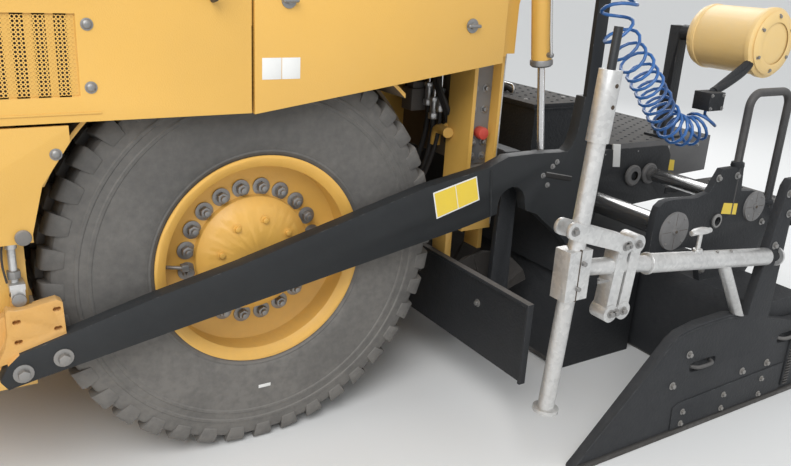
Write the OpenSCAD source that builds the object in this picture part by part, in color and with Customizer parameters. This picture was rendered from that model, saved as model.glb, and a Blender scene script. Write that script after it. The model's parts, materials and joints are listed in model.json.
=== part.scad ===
// Wheeled asphalt paver with an extending screed.
// Front is +X, left is +Y, up is +Z, and the ground is z = 0.
// Sizes along X are measured from the rear axle, and place() shifts them to the part's own origin.

/* [Machine] */
// Half of the width over the body panels
body_half = 1250; // [1200:10:1300]
// Height of the lower edge of the body panels
belt_low = 1180; // [1150:5:1200]
// Height of the platform's floor
floor_z = 1650; // [1640:5:1700]
// Length of the body ahead of the rear axle
body_front = 1480; // [1460:5:1495]
// Length of the body behind the rear axle
body_rear = 870; // [860:5:880]
// Thickness of the body's sheet metal
sheet = 10; // [6:1:14]
// Half of the width between the main frame's plates
frame_half = 580; // [560:5:590]
// Thickness of the main frame's plates
frame_t = 25; // [20:1:30]
// Height of the hood at its highest
hood_top = 2040; // [2000:10:2100]
// Height of the canopy's roof at its edge
roof_z = 3300; // [3200:10:3400]

/* [Rear wheels] */
// Radius of the rear tyre
tyre_r = 675; // [660:1:690]
// Width of the rear tyre
tyre_w = 390; // [370:2:400]
// How far the rear tyre's outer face lies inside the body panels
tyre_inset = 60; // [55:1:70]
// Number of lugs round each shoulder of the rear tyre
lugs = 40; // [36:1:44]
// Depth of the rear tyre's tread
tread = 24; // [18:1:28]
// Radius of the rim's flange
rim_r = 355; // [345:1:365]
// Radius of the hub's cover
hub_r = 200; // [190:1:210]
// Radius of the wheel spindle
spindle_r = 60; // [50:1:65]

/* [Front wheels] */
// Radius of the front wheels
front_r = 270; // [250:1:275]
// Width of the front wheels
front_w = 290; // [260:2:300]
// Place of the bogies ahead of the rear axle
bogie_x = 2450; // [2430:5:2470]
// Distance from the bogie's pivot to each of its axles
bogie_arm = 320; // [310:1:330]
// Radius of the bogie's pivot pin
kingpin_r = 45; // [35:1:50]

/* [Hopper] */
// Place of the hopper's front edge
hopper_front = 3250; // [3200:10:3300]
// Height of the wings' hinges
wing_hinge_z = 668; // [660:1:680]
// Distance of the wings' hinges from the middle
wing_hinge_y = 640; // [635:1:650]
// Thickness of the hopper's plates
wing_t = 12; // [8:1:16]
// Distance of the push rollers' axles ahead of the hopper's front edge
roller_out = 400; // [390:5:420]
// Radius of the push rollers
roller_r = 90; // [80:1:95]

/* [Tow arms] */
// How far the tow arms' outer faces stand out beyond the body panels
arm_out = 25; // [20:1:35]
// Thickness of the tow arms
arm_t = 50; // [40:1:52]
// Radius of the pin that a tow arm swings on
tow_pin_r = 12; // [10:0.5:15]
// Radius of the lift cylinder's barrel
lift_barrel_r = 38; // [34:1:40]
// Radius of the lift cylinder's rod
lift_rod_r = 14; // [12:0.5:16]

/* [Auger] */
// Radius of the auger's blade
auger_r = 190; // [150:5:200]
// Radius of the auger's shaft
auger_shaft_r = 45; // [35:1:55]
// Length of one turn of the auger's blade
auger_pitch = 300; // [250:10:350]
// Height of the auger's shaft
auger_z = 330; // [320:5:360]

/* [Screed] */
// Half of the width of the main screed
screed_half = 1275; // [1275:1:1280]
// How far the extensions stand out beyond the main screed
ext_out = 525; // [500:5:530]
// Radius of the extensions' guide tubes
guide_r = 45; // [38:1:48]
// Thickness of the end gates
gate_t = 40; // [30:1:45]
// Radius of the sensor mast's tube
mast_r = 27; // [22:1:30]
// Place of the walkway's rear edge behind the rear axle
walk_rear = 2560; // [2540:5:2600]

/* [Hidden] */
$fn = 48;

yellow = "#ecb854";
black = "#2a2c2f";
grey = "#5a5d60";
silver = "#b9bcc0";
rubber = "#3a3b3d";

// The machine stands between its push rollers and its walkway, and the origin is halfway.
roller_x = hopper_front + roller_out;
front_reach = roller_x + roller_r;
axle_shift = (walk_rear - front_reach) / 2;
// Room for a shaft that turns or slides in its hole
run_gap = 0.05;
// Room for a tube that slides in its housing
slide_gap = 0.3;
axle_z = tyre_r;
frame_face = frame_half + frame_t;
tyre_face = body_half - tyre_inset;
arm_face = body_half + arm_out;
deck_z = 572;
deck_t = 16;
rear_wall = 900;

// Shared shapes
module place() translate([axle_shift, 0, 0]) children();
module pair() { children(); mirror([0, 1, 0]) children(); }
module right() mirror([0, 1, 0]) children();
module slab(low, high) translate(low) cube(high - low);
module bar_x(y, z, x0, x1, r) translate([x0, y, z]) rotate([0, 90, 0]) cylinder(r = r, h = x1 - x0);
module bar_y(x, z, y0, y1, r) translate([x, y0, z]) rotate([-90, 0, 0]) cylinder(r = r, h = y1 - y0);
module bar_z(x, y, z0, z1, r) translate([x, y, z0]) cylinder(r = r, h = z1 - z0);
// A plate cut to an outline of x and z, standing between two distances from the middle
module plate_y(outline, y0, y1) {
    translate([0, y1, 0]) rotate([90, 0, 0]) linear_extrude(y1 - y0) polygon(outline);
}
// A plate cut to an outline of y and z, standing between two places along the machine
module plate_x(outline, x0, x1) {
    translate([x0, 0, 0]) rotate([90, 0, 90]) linear_extrude(x1 - x0) polygon(outline);
}
// A round bar from one point to another
module link(from, to, r) {
    run = to - from;
    long = norm(run);
    translate(from) rotate([0, acos(run.z / long), atan2(run.y, run.x)]) cylinder(r = r, h = long);
}
// A piece turned about a line along Y at the given place, from an outline of radius and y
module turned_y(x, z, outline) {
    translate([x, 0, z]) rotate([-90, 0, 0]) rotate_extrude($fn = 96) polygon(outline);
}

// Main frame: two tall plates, the tunnel between them, and the narrow nose under the hopper
tunnel_top = 900;
nose_half = 420;
nose_low = 400;
nose_end = hopper_front - 70;
column_y0 = body_half - 290;
column_y1 = body_half - 140;
column_x0 = -1000;
column_x1 = -860;
lift_y = body_half - 50;
lift_top = [-1020, 1850];
lift_eye = [-1145, 935];
kingpin_y = 665;
kingpin_top = 640;
pivot_x = roller_x - 220;
pivot_r = 30;
tongue_end = pivot_x + 50;
lashing_r = 25;
module lashing_eye() {
    difference() {
        translate([nose_end, 0, 0]) plate_y([[-120, 556], [-110, 440], [-80, 420], [-20, 420], [0, 440], [0, 556]],
            nose_half, nose_half + 20);
        bar_y(nose_end - 55, 480, nose_half - 1, nose_half + 25, lashing_r);
    }
}
module main_frame_plate() {
    difference() {
        plate_y([[-860, 440], [1000, 440], [1040, 370], [1160, 370], [1200, 440], [1560, 440], [1560, 660],
            [body_front - sheet, 660], [body_front - sheet, floor_z - 30], [-rear_wall, floor_z - 30],
            [-rear_wall, 540]], frame_half, frame_face);
        bar_y(1100, 410, frame_half - 5, frame_face + 5, lashing_r);
    }
}
module kingpin_housing() {
    difference() {
        slab([bogie_x - 80, frame_face - 1, deck_z - 10], [bogie_x + 80, 740, kingpin_top]);
        bar_z(bogie_x, kingpin_y, deck_z - 20, kingpin_top + 10, kingpin_r + run_gap);
    }
}
module lift_bracket() {
    plate_y([[column_x1, 1320], [column_x1, 1560], [-950, 1900], [-1065, 1900], [-1065, 1800],
        [-960, 1320]], lift_y - lift_barrel_r - 24, lift_y - lift_barrel_r - 8);
    plate_y([[-960, 1900], [-1065, 1900], [-1065, 1800], [-960, 1800]],
        lift_y + lift_barrel_r + 2, lift_y + lift_barrel_r + 12);
    slab([-1065, lift_y - lift_barrel_r - 24, 1900], [-960, lift_y + lift_barrel_r + 12, 1912]);
    bar_y(lift_top.x, lift_top.y, lift_y - lift_barrel_r - 20, lift_y + lift_barrel_r + 8, 15);
}
module wing_foot() {
    for (x = [-32, 20]) plate_x([[nose_half - 1, 410], [nose_half - 1, 520], [690, 400], [726, 386],
        [736, 360], [726, 334], [700, 324], [674, 334]], wing_cyl_x + x, wing_cyl_x + x + 12);
    bar_x(wing_base.x, wing_base.y, wing_cyl_x - 36, wing_cyl_x + 36, 15);
}
module main_frame() color(yellow) place() pair() main_frame_plate();
module tunnel() color(yellow) place() {
    slab([-860, -frame_half, 440], [1560, frame_half, 456]);
    slab([-rear_wall, -frame_half, deck_z - deck_t], [1560, frame_half, deck_z]);
    slab([-rear_wall, -frame_half, tunnel_top], [body_front - sheet, frame_half, tunnel_top + 15]);
    slab([-rear_wall, -frame_half, tunnel_top], [-rear_wall + 15, frame_half, floor_z - 30]);
}

// Nose frame under the hopper, with the bogies' housings and the push beam's pivot
module nose_frame() color(yellow) place() {
    slab([1560, -frame_face, deck_z - deck_t], [hopper_front, frame_face, deck_z]);
    pair() slab([1560, frame_half, deck_z], [hopper_front, frame_face, 640]);
    slab([1560, -nose_half, nose_low], [nose_end, nose_half, deck_z - deck_t]);
    pair() kingpin_housing();
    pair() lashing_eye();
    pair() wing_foot();
    difference() {
        slab([nose_end - 1, -100, 430], [tongue_end, 100, deck_z - deck_t]);
        bar_z(pivot_x, 0, 420, deck_z, pivot_r + run_gap);
    }
}

// Rear posts beside the platform, with the brackets that the lift cylinders hang from
module rear_posts() color(yellow) place() pair() {
    difference() {
        slab([column_x0, column_y0, 640], [column_x1, column_y1, floor_z - 30]);
        slab([column_x0 + 16, column_y1 - 50, 700], [column_x1 - 16, column_y1 + 1, 1300]);
    }
    slab([-rear_wall, frame_face, tunnel_top], [-rear_wall + 15, column_y0 + 1, floor_z - 30]);
    slab([column_x0, column_y1 - 1, 1330], [column_x1, lift_y - lift_barrel_r - 8, floor_z - 30]);
    slab([-861, column_y0, 510], [-832, column_y0 + 90, 700]);
    slab([column_x0 - 15, column_y0, 530], [column_x0 + 5, column_y0 + 90, 700]);
    lift_bracket();
}

// Engine: one plain block on the tunnel's roof
module engine() color(grey) place() {
    slab([350, -430, tunnel_top + 15], [1300, 430, 1650]);
    slab([450, -300, 1649], [1200, 300, 1880]);
}

// Hood: a hollow cover over the engine, with a sloping nose
hood_rear = 160;
module hood_form(inset) {
    half = body_half - inset;
    intersection() {
        plate_x([[-half, floor_z - 31], [-half, floor_z + 10], [-half + 70, hood_top - 190],
            [-half + 190, hood_top - 60], [-half + 330, hood_top], [half - 330, hood_top],
            [half - 190, hood_top - 60], [half - 70, hood_top - 190], [half, floor_z + 10],
            [half, floor_z - 31]], hood_rear + inset, body_front - inset);
        plate_y([[hood_rear, floor_z - 30 - inset], [body_front, floor_z - 30 - inset],
            [body_front - inset, 1800], [1300, hood_top - 70 - inset], [1150, hood_top - inset],
            [hood_rear, hood_top - inset]], -body_half, body_half);
    }
}
module hood() color(yellow) place() {
    difference() {
        hood_form(0);
        hood_form(sheet);
        for (i = [0:8]) slab([760 + 50 * i, -420, hood_top - 60], [785 + 50 * i, 420, hood_top + 10]);
    }
}

// Body panels, with a grille on each side and the wheel's mudguard behind them
grille_x = [540, 1240];
grille_z = [1246, 1457];
arch_r = tyre_r + 45;
module side_panel() {
    difference() {
        plate_y([[66, belt_low], [body_front, belt_low], [body_front, floor_z - 30], [66, floor_z - 30]],
            body_half - sheet, body_half);
        slab([grille_x[0], body_half - 20, grille_z[0]], [grille_x[1], body_half + 5, grille_z[1]]);
    }
    for (x = [grille_x[0] : 50 : grille_x[1]])
        slab([x, body_half - 12, grille_z[0] - 5], [x + 20, body_half - 7, grille_z[1] + 5]);
    slab([66, body_half - 35, belt_low], [body_front, body_half - sheet + 1, belt_low + 10]);
    plate_y([[576, 1162], [575, 1128], [653, 1015], [687, 885], [687, 862], [900, 862], [960, 600],
        [1440, 600], [body_front, 640], [body_front, 1172], [576, 1172]], body_half - 12, body_half);
    slab([960, frame_face, 600], [body_front - 40, body_half - 12, 612]);
    slab([1460, frame_face, 600], [body_front - sheet, body_half - sheet, floor_z - 30]);
    slab([792, frame_face, 870], [806, body_half - 12, 1172]);
    slab([792, frame_face, 1165], [1461, body_half - 12, 1175]);
    slab([60, frame_face, 1430], [75, body_half - sheet, floor_z - 30]);
    slab([-850, frame_face, 1430], [61, tyre_face, 1590]);
    difference() {
        intersection() {
            bar_y(0, axle_z, frame_face, tyre_face + 15, arch_r + 12);
            slab([-arch_r - 20, frame_face, 1000], [arch_r + 20, tyre_face + 15, 1500]);
        }
        bar_y(0, axle_z, frame_face - 5, tyre_face + 20, arch_r);
        slab([-arch_r - 20, tyre_face - 190, 900], [-500, tyre_face + 20, 1300]);
    }
}
// Panel over the hopper's rear wall, with the louvres that cool the engine
module front_panel() {
    difference() {
        slab([body_front - 20, 0, 1236], [body_front - sheet, frame_half, floor_z - 30]);
        for (z = [1280 : 45 : 1560]) slab([body_front - 25, 40, z], [body_front, frame_half - 40, z + 24]);
    }
    for (z = [1280 : 45 : 1560]) plate_y([[body_front - 20, z + 24], [body_front - 12, z + 24],
        [body_front - 1, z + 4], [body_front - 9, z + 4]], 36, frame_half - 36);
}
module side_panels() color(yellow) place() pair() {
    side_panel();
    front_panel();
}

// Platform over the auger, where the operators sit
module platform() color(black) place() {
    pair() for (x = door_pins) {
        bar_x(door_hinge.x, door_hinge.y, x - 12, x + 92, door_pin_r);
        for (end = [x - 12, x + 84])
            slab([end, door_hinge.x - 6, door_hinge.y - 6], [end + 8, door_hinge.x + 6, floor_z - 29]);
    }
    difference() {
        slab([-950, -body_half, floor_z - 30], [hood_rear - 5, body_half, floor_z]);
        pair() slab([-960, lift_y - 72, floor_z - 40], [-850, body_half + 10, floor_z + 10]);
    }
    pair() slab([-850, body_half - 20, floor_z], [hood_rear - 5, body_half, floor_z + 40]);
    for (i = [0:2]) slab([50 * i - 1080, -250, 1020 + 200 * i], [-rear_wall, 250, 1045 + 200 * i]);
    pair() plate_y([[-915, 1000], [-1090, 1000], [-1090, 1060], [-1000, 1500], [-915, floor_z - 30]], 235, 250);
}

// Control console with its steering wheel, and the frames of two seats
seat_x = -520;
seat_y = 900;
module operator_stand() color(grey) place() {
    slab([-40, -180, floor_z], [100, 180, 2300]);
    plate_y([[-260, 2380], [-230, 2330], [120, 2330], [140, 2600], [100, 2610]], -300, 300);
    slab([-40, -180, 2299], [100, 180, 2340]);
    link([-150, 0, 2410], [-205, 0, 2465], 34);
    link([-200, 0, 2460], [-264, 0, 2524], 22);
    translate([-262, 0, 2522]) rotate([0, -45, 0]) {
        rotate_extrude() translate([180, 0]) circle(r = 16, $fn = 24);
        for (a = [0, 120, 240]) rotate([0, 0, a]) slab([0, -14, -8], [175, 14, 8]);
        cylinder(r = 40, h = 20);
    }
    pair() {
        slab([seat_x - 150, seat_y - 150, floor_z], [seat_x + 150, seat_y + 150, 2040]);
        slab([seat_x - 250, seat_y - 240, 2040], [seat_x + 240, seat_y + 240, 2060]);
        plate_y([[seat_x - 250, 2060], [seat_x - 215, 2060], [seat_x - 285, 2620], [seat_x - 320, 2620]],
            seat_y - 225, seat_y + 225);
    }
}
module seat_pads() color(black) place() pair() {
    slab([seat_x - 205, seat_y - 230, 2060.3], [seat_x + 230, seat_y + 230, 2150]);
    plate_y([[seat_x - 227.2, 2160], [seat_x - 150, 2160], [seat_x - 210, 2640], [seat_x - 287.2, 2640]],
        seat_y - 220, seat_y + 220);
}

// Canopy: four posts with rails between them, and a roof moulded as one shell
post_x = [-900, 90];
post_y = body_half - 60;
post_w = 60;
module canopy_frame() color(black) place() {
    pair() for (x = post_x)
        slab([x - post_w / 2, post_y - post_w / 2, floor_z], [x + post_w / 2, post_y + post_w / 2, roof_z]);
    for (x = post_x) slab([x - 30, -post_y, roof_z - 60], [x + 30, post_y, roof_z]);
    pair() slab([post_x[0], post_y - 30, roof_z - 60], [post_x[1], post_y + 30, roof_z]);
    pair() for (z = [2150, 2650]) bar_x(post_y, z, post_x[0], post_x[1], 20);
    for (z = [2150, 2650]) bar_y(post_x[0], z, -post_y, post_y, 20);
}
roof_front = 420;
roof_rear = -1180;
roof_half = body_half - 10;
module roof_form(inset) {
    half = roof_half - inset;
    intersection() {
        plate_x([[-half, roof_z - inset], [-half, roof_z + 50 - inset], [-half + 120, roof_z + 110 - inset],
            [-400, roof_z + 140 - inset], [400, roof_z + 140 - inset], [half - 120, roof_z + 110 - inset],
            [half, roof_z + 50 - inset], [half, roof_z - inset]], roof_rear + inset, roof_front - inset);
        plate_y([[roof_rear + inset, roof_z - inset], [roof_front - inset, roof_z - inset],
            [roof_front - inset, roof_z + 50], [roof_front - 120, roof_z + 120 - inset],
            [-300, roof_z + 150 - inset], [roof_rear + 120, roof_z + 120 - inset],
            [roof_rear + inset, roof_z + 50]], -roof_half, roof_half);
    }
}
module canopy_roof() color(yellow) place() difference() {
    roof_form(0);
    difference() {
        roof_form(25);
        for (x = post_x) slab([x - 30, -post_y, roof_z], [x + 30, post_y, roof_z + 140]);
    }
}

// Exhaust: a stack with a turned-over mouth
module exhaust() color(grey) place() {
    bar_z(420, 700, hood_top, 2500, 55);
    link([420, 700, 2490], [360, 700, 2600], 50);
}

// Work lamps under the roof's edge
module lamps() color(silver) place() pair() {
    for (x = [roof_front - 60, roof_rear + 5]) {
        slab([x + 12, 890, roof_z - 30], [x + 43, 1070, roof_z - 0.3]);
        for (y = [935, 1025]) bar_x(y, roof_z - 72, x, x + 55, 43);
    }
}

// Fixed part of the hopper: rear wall, front lip and the hinge pins of the wings
hinge_pin_r = 20;
knuckle_r = 34;
wing_x0 = 1510;
knuckles = [1560, 2100, hopper_front - 170];
knuckle_l = 120;
module hopper_frame() color(yellow) place() {
    difference() {
        slab([body_front, 100 - body_half, 660], [body_front + 14, body_half - 100, 1250]);
        slab([body_front - 5, 10 - frame_half, 600], [body_front + 20, frame_half - 10, tunnel_top]);
    }
    slab([hopper_front, 20 - frame_half, 557], [hopper_front + 12, frame_half - 20, 700]);
    pair() for (x = knuckles) {
        bar_x(wing_hinge_y, wing_hinge_z, x - 25, x + knuckle_l + 25, hinge_pin_r);
        for (end = [x - 25, x + knuckle_l + 5])
            slab([end, frame_face + 0.2, deck_z + 5], [end + 20, wing_hinge_y + 24, wing_hinge_z + 24]);
    }
}

// Conveyors: two slat chains that lie on the tunnel's deck
slat_pitch = 160;
module conveyors() color(grey) place() pair() {
    for (y = [60, frame_half - 80]) slab([-880, y, deck_z], [hopper_front - 50, y + 30, deck_z + 25]);
    for (x = [-860 : slat_pitch : hopper_front - 70])
        slab([x, 25, deck_z + 10], [x + 45, frame_half - 15, deck_z + 32]);
}

// Rear axle: one planetary gear housing on each side of the frame
axle_end = tyre_face - 85;
module rear_axle() color(yellow) place() pair() {
    turned_y(0, axle_z, [[0, frame_face], [230, frame_face], [230, frame_face + 25], [190, frame_face + 40],
        [175, axle_end - 205], [150, axle_end - 145], [spindle_r, axle_end - 145], [spindle_r, axle_end],
        [0, axle_end]]);
}

// Rear wheels
rim_disc = tyre_face - 112;
bead_r = rim_r - 25;
rim_in = tyre_face - tyre_w + 4;
rim_out = tyre_face - 8;
module rear_rim() color(yellow) place() {
    turned_y(0, axle_z, [[0, rim_disc + 68], [90, rim_disc + 64], [160, rim_disc + 46],
        [hub_r - 2, rim_disc + 18], [hub_r, rim_disc], [250, rim_disc - 8], [bead_r - 14, rim_disc + 7],
        [bead_r - 14, rim_out - 17], [rim_r - 10, rim_out], [rim_r, rim_out], [rim_r, rim_out - 8],
        [bead_r, rim_out - 16], [bead_r, rim_in + 16], [rim_r, rim_in + 8], [rim_r, rim_in],
        [rim_r - 10, rim_in], [bead_r - 14, rim_in + 11], [bead_r - 14, rim_disc - 16],
        [110, rim_disc - 16], [110, rim_disc - 68], [spindle_r + run_gap, rim_disc - 68],
        [spindle_r + run_gap, axle_end + 5], [0, axle_end + 5]]);
}
lug_l = 62;
module rear_tyre() color(rubber) place() {
    mid = tyre_face - tyre_w / 2;
    half = tyre_w / 2;
    base = tyre_r - tread;
    side = [[bead_r + 0.2, 170], [rim_r + 0.3, 178], [rim_r + 8, 187], [400, half - 2], [480, half],
        [560, half - 4], [base - 40, half - 11], [base - 6, half - 24], [base, half - 55]];
    turned_y(0, axle_z, concat([for (p = side) [p.x, mid + p.y]],
        [for (i = [len(side) - 1 : -1 : 0]) [side[i].x, mid - side[i].y]]));
    // Each lug runs from the shoulder to the middle of the tread, and the two sides stand in turn
    translate([0, mid, axle_z]) for (side = [0, 1]) mirror([0, side, 0]) for (i = [0 : lugs - 1])
        rotate([0, (i + side / 2) * 360 / lugs, 0]) plate_x([[half - 10, base - 38], [half - 13, base - 8],
            [half - 22, tyre_r - 9], [half - 42, tyre_r - 1], [8, tyre_r - 1], [8, base - 6],
            [half - 60, base - 6], [half - 30, base - 38]], -lug_l / 2, lug_l / 2);
}

// Front bogies, each with two wheels of solid rubber
bogie_y0 = 630;
bogie_y1 = 700;
wheel_y0 = 715;
stub_r = 35;
module bogie() color(yellow) place() {
    plate_y([for (p = [[-370, -70], [370, -70], [410, 0], [370, 75], [110, 120], [-110, 120], [-370, 75],
        [-410, 0]]) [bogie_x + p.x, front_r + p.y]], bogie_y0, bogie_y1);
    bar_z(bogie_x, kingpin_y, front_r + 100, kingpin_top - 4, kingpin_r);
    for (x = [-bogie_arm, bogie_arm]) bar_y(bogie_x + x, front_r, bogie_y1 - 1, wheel_y0 + front_w - 20, stub_r);
}
module front_wheel(dir) color(rubber) place() {
    out = wheel_y0 + front_w;
    turned_y(bogie_x + dir * bogie_arm, front_r, [[stub_r + run_gap, wheel_y0], [90, wheel_y0],
        [110, wheel_y0 + 40], [180, wheel_y0 + 40], [190, wheel_y0 + 5], [front_r - 30, wheel_y0],
        [front_r, wheel_y0 + 25], [front_r, out - 25], [front_r - 30, out], [190, out - 5],
        [180, out - 70], [110, out - 70], [80, out - 15], [stub_r + 10, out - 10], [0, out - 10],
        [0, out - 15], [stub_r + run_gap, out - 15]]);
}

// Hopper wings, with ribs beneath and a wall at the rear
wing_bend = [590, 100];
wing_rim = [960, 470];
wing_lug = [510, -8];
wing_cyl_x = 1700;
module wing() color(yellow) place() {
    floor_in = [14, 0];
    difference() {
        translate([0, wing_hinge_y, wing_hinge_z]) {
            plate_x([floor_in, [wing_bend.x, wing_bend.y], wing_rim, wing_rim + [-14, 14],
                wing_bend + [-5, 12], floor_in + [-2, 12]], wing_x0, hopper_front);
            plate_x([floor_in, wing_bend, wing_rim, wing_rim + [-20, 30], [60, 430], [30, 12]],
                wing_x0, wing_x0 + wing_t);
            for (x = [1900, 2650, hopper_front - 20])
                plate_x([[60, 12], [540, 92], [wing_bend.x + 60, 160], [880, 402], [920, 400],
                    [wing_bend.x + 80, 62], [wing_bend.x - 20, 40], [110, -30]], x, x + 14);
            plate_x([wing_rim + [-16, 12], wing_rim + [4, -6], wing_rim + [30, 6], wing_rim + [30, 26],
                wing_rim + [-10, 26]], wing_x0, hopper_front);
            for (x = knuckles) bar_x(0, 0, x, x + knuckle_l, knuckle_r);
            for (x = [-34, 22]) plate_x([[wing_lug.x - 40, 84], [wing_lug.x + 40, 98], [wing_lug.x + 30, -25],
                [wing_lug.x + 10, -38], [wing_lug.x - 20, -30]], wing_cyl_x + x, wing_cyl_x + x + 12);
        }
        for (x = knuckles)
            bar_x(wing_hinge_y, wing_hinge_z, x - 5, x + knuckle_l + 5, hinge_pin_r + run_gap);
        for (x = knuckles) for (end = [x - 32, x + knuckle_l])
            slab([end, wing_hinge_y - 60, wing_hinge_z - 60], [end + 32, wing_hinge_y + 40, wing_hinge_z + 40]);
    }
}

// Cylinders that fold the wings. Each stands on a foot of the nose and pushes on a lug of its wing.
wing_base = [700, 360];
wing_eye = [wing_hinge_y + wing_lug.x, wing_hinge_z + wing_lug.y];
wing_run = wing_eye - wing_base;
wing_len = norm(wing_run);
wing_dir = wing_run / wing_len;
wing_barrel_l = 430;
function on_wing_cyl(d) = [wing_cyl_x, wing_base.x + wing_dir.x * d, wing_base.y + wing_dir.y * d];
module wing_barrel() color(yellow) place() difference() {
    union() {
        bar_x(wing_base.x, wing_base.y, wing_cyl_x - 14, wing_cyl_x + 14, 34);
        link(on_wing_cyl(10), on_wing_cyl(70), 14);
        link(on_wing_cyl(66), on_wing_cyl(wing_barrel_l), 34);
    }
    bar_x(wing_base.x, wing_base.y, wing_cyl_x - 40, wing_cyl_x + 40, 15 + run_gap);
    link(on_wing_cyl(80), on_wing_cyl(wing_barrel_l + 5), 18 + slide_gap);
}
module wing_rod() color(silver) place() {
    link(on_wing_cyl(100), on_wing_cyl(wing_len - 15), 18);
    bar_x(wing_eye.x, wing_eye.y, wing_cyl_x - 16, wing_cyl_x + 16, 26);
}

// Push beam with its two rollers, which turns on a pin in the nose
beam_x0 = roller_x - 145;
beam_x1 = roller_x - 105;
beam_half = 850;
roller_z = 510;
roller_axle_r = 20;
module push_beam() color(yellow) place() {
    bar_z(pivot_x, 0, 396, 590, pivot_r);
    slab([pivot_x - 60, -90, deck_z - deck_t + 6], [beam_x0 + 1, 90, 590]);
    slab([pivot_x - 60, -90, 396], [beam_x0 + 1, 90, 424]);
    slab([beam_x0, -beam_half, 396], [beam_x1, beam_half, 620]);
    for (y = [-beam_half, -20, beam_half - 40]) plate_y([[beam_x0 + 10, 420], [roller_x + 30, 460],
        [roller_x + 40, 510], [roller_x + 30, 560], [beam_x0 + 10, 600]], y, y + 40);
    bar_y(roller_x, roller_z, -beam_half + 10, beam_half - 10, roller_axle_r);
}
module push_roller() color(silver) place() difference() {
    bar_y(roller_x, roller_z, 26, beam_half - 46, roller_r);
    bar_y(roller_x, roller_z, 0, beam_half, roller_axle_r + run_gap);
}

// Tow brackets: the guide that a tow arm's head slides in, and the levelling cylinder over it
tow_pin = [736, 696];
tow_y = arm_face - 70;
module tow_brackets() color(yellow) place() pair() {
    slab([705, tow_y - 205, 400], [840, tow_y - 31, 860]);
    slab([720, frame_face, 480], [840, tow_y - 204, 700]);
    slab([705, tow_y - 205, 860], [758, tow_y - 45, 1172]);
    bar_z(tow_pin.x + 4, tow_y - 5, 890, 1160, 26);
    slab([712, tow_y - 46, 900], [768, tow_y - 23, 940]);
    slab([712, tow_y - 46, 1080], [768, tow_y - 23, 1120]);
}
module levelling_rods() color(silver) place() pair() {
    bar_z(tow_pin.x + 4, tow_y - 5, 740, 889.7, 11);
    slab([tow_pin.x - 20, tow_y - 26, 722], [tow_pin.x + 20, tow_y + 26, 740]);
    for (y = [tow_y - 26, tow_y + 12]) {
        slab([tow_pin.x - 18, y, 696], [tow_pin.x + 18, y + 14, 723]);
        bar_y(tow_pin.x, tow_pin.y, y, y + 14, 18);
    }
    bar_y(tow_pin.x, tow_pin.y, tow_y - 25, tow_y + 25, tow_pin_r);
}

// Auger frame: the chain case in the middle, a beam, and a hanger at each end
auger_x = -1030;
shield_in = frame_face + 15;
shield_out = body_half + 340;
module auger_frame() color(black) place() {
    difference() {
        union() {
            slab([auger_x - 60, -70, 230], [auger_x + 110, 70, 965]);
            slab([-1060, -1180, 905], [column_x0, 1180, 965]);
            pair() plate_y([[auger_x - 40, 250], [auger_x + 60, 250], [-990, 965], [-1060, 965]], 1156, 1180);
            pair() slab([-832, shield_in, 220], [-820, shield_out, 530]);
            pair() slab([-832, shield_in, 518], [-806, shield_out, 531]);
            pair() slab([-832, shield_out - 12, 220], [-806, shield_out, 531]);
            pair() slab([-832, shield_in, 529], [-820, shield_in + 20, 899]);
            pair() slab([-1040, shield_in, 850], [-820, shield_in + 20, 899]);
            pair() slab([-1040, shield_in, 898], [-1005, shield_in + 20, 906]);
        }
        pair() bar_y(auger_x, auger_z, 30, 75, 25 + run_gap);
        pair() bar_y(auger_x, auger_z, 1150, 1190, 25 + run_gap);
    }
}
auger_y0 = 96;
auger_l = 1030;
blade_half = 26;
// A screw blade: a wedge from the shaft to the edge, swept along the shaft as it turns
module blade(hand) {
    turns = auger_l / auger_pitch;
    translate([auger_x, auger_y0, auger_z]) rotate([-90, 0, 0])
        linear_extrude(auger_l, twist = hand * 360 * turns, slices = round(14 * turns), $fn = 4)
            polygon([[20, -6], [auger_r, -blade_half], [auger_r, blade_half], [20, 6]]);
}
module auger(hand) color(grey) place() {
    bar_y(auger_x, auger_z, 76, 1150, auger_shaft_r);
    bar_y(auger_x, auger_z, 40, 1175, 25);
    blade(hand);
}

// Service doors over the rear wheels, hinged along their upper edge
door_hinge = [body_half - 15, floor_z - 55];
door_low_rear = 1310;
door_x = [-868, 56];
door_pins = [-760, -120];
door_pin_r = 6;
module door() color(yellow) place() {
    top = door_hinge.y - 10;
    outline = [[door_x[1], belt_low - 4], [door_x[1], top], [door_x[0], top], [door_x[0], door_low_rear]];
    inner = [[door_x[1] - 22, belt_low + 18], [door_x[1] - 22, top - 22], [door_x[0] + 22, top - 22],
        [door_x[0] + 22, door_low_rear + 18]];
    plate_y(outline, body_half - sheet, body_half);
    difference() {
        plate_y(outline, body_half - 32, body_half - sheet + 1);
        plate_y(inner, body_half - 40, body_half);
    }
    difference() {
        for (x = door_pins) {
            bar_x(door_hinge.x, door_hinge.y, x, x + 80, 11);
            slab([x, door_hinge.x - 8, top - 15], [x + 80, door_hinge.x + 8, door_hinge.y]);
        }
        for (x = door_pins) bar_x(door_hinge.x, door_hinge.y, x - 5, x + 85, door_pin_r + run_gap);
    }
}

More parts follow.
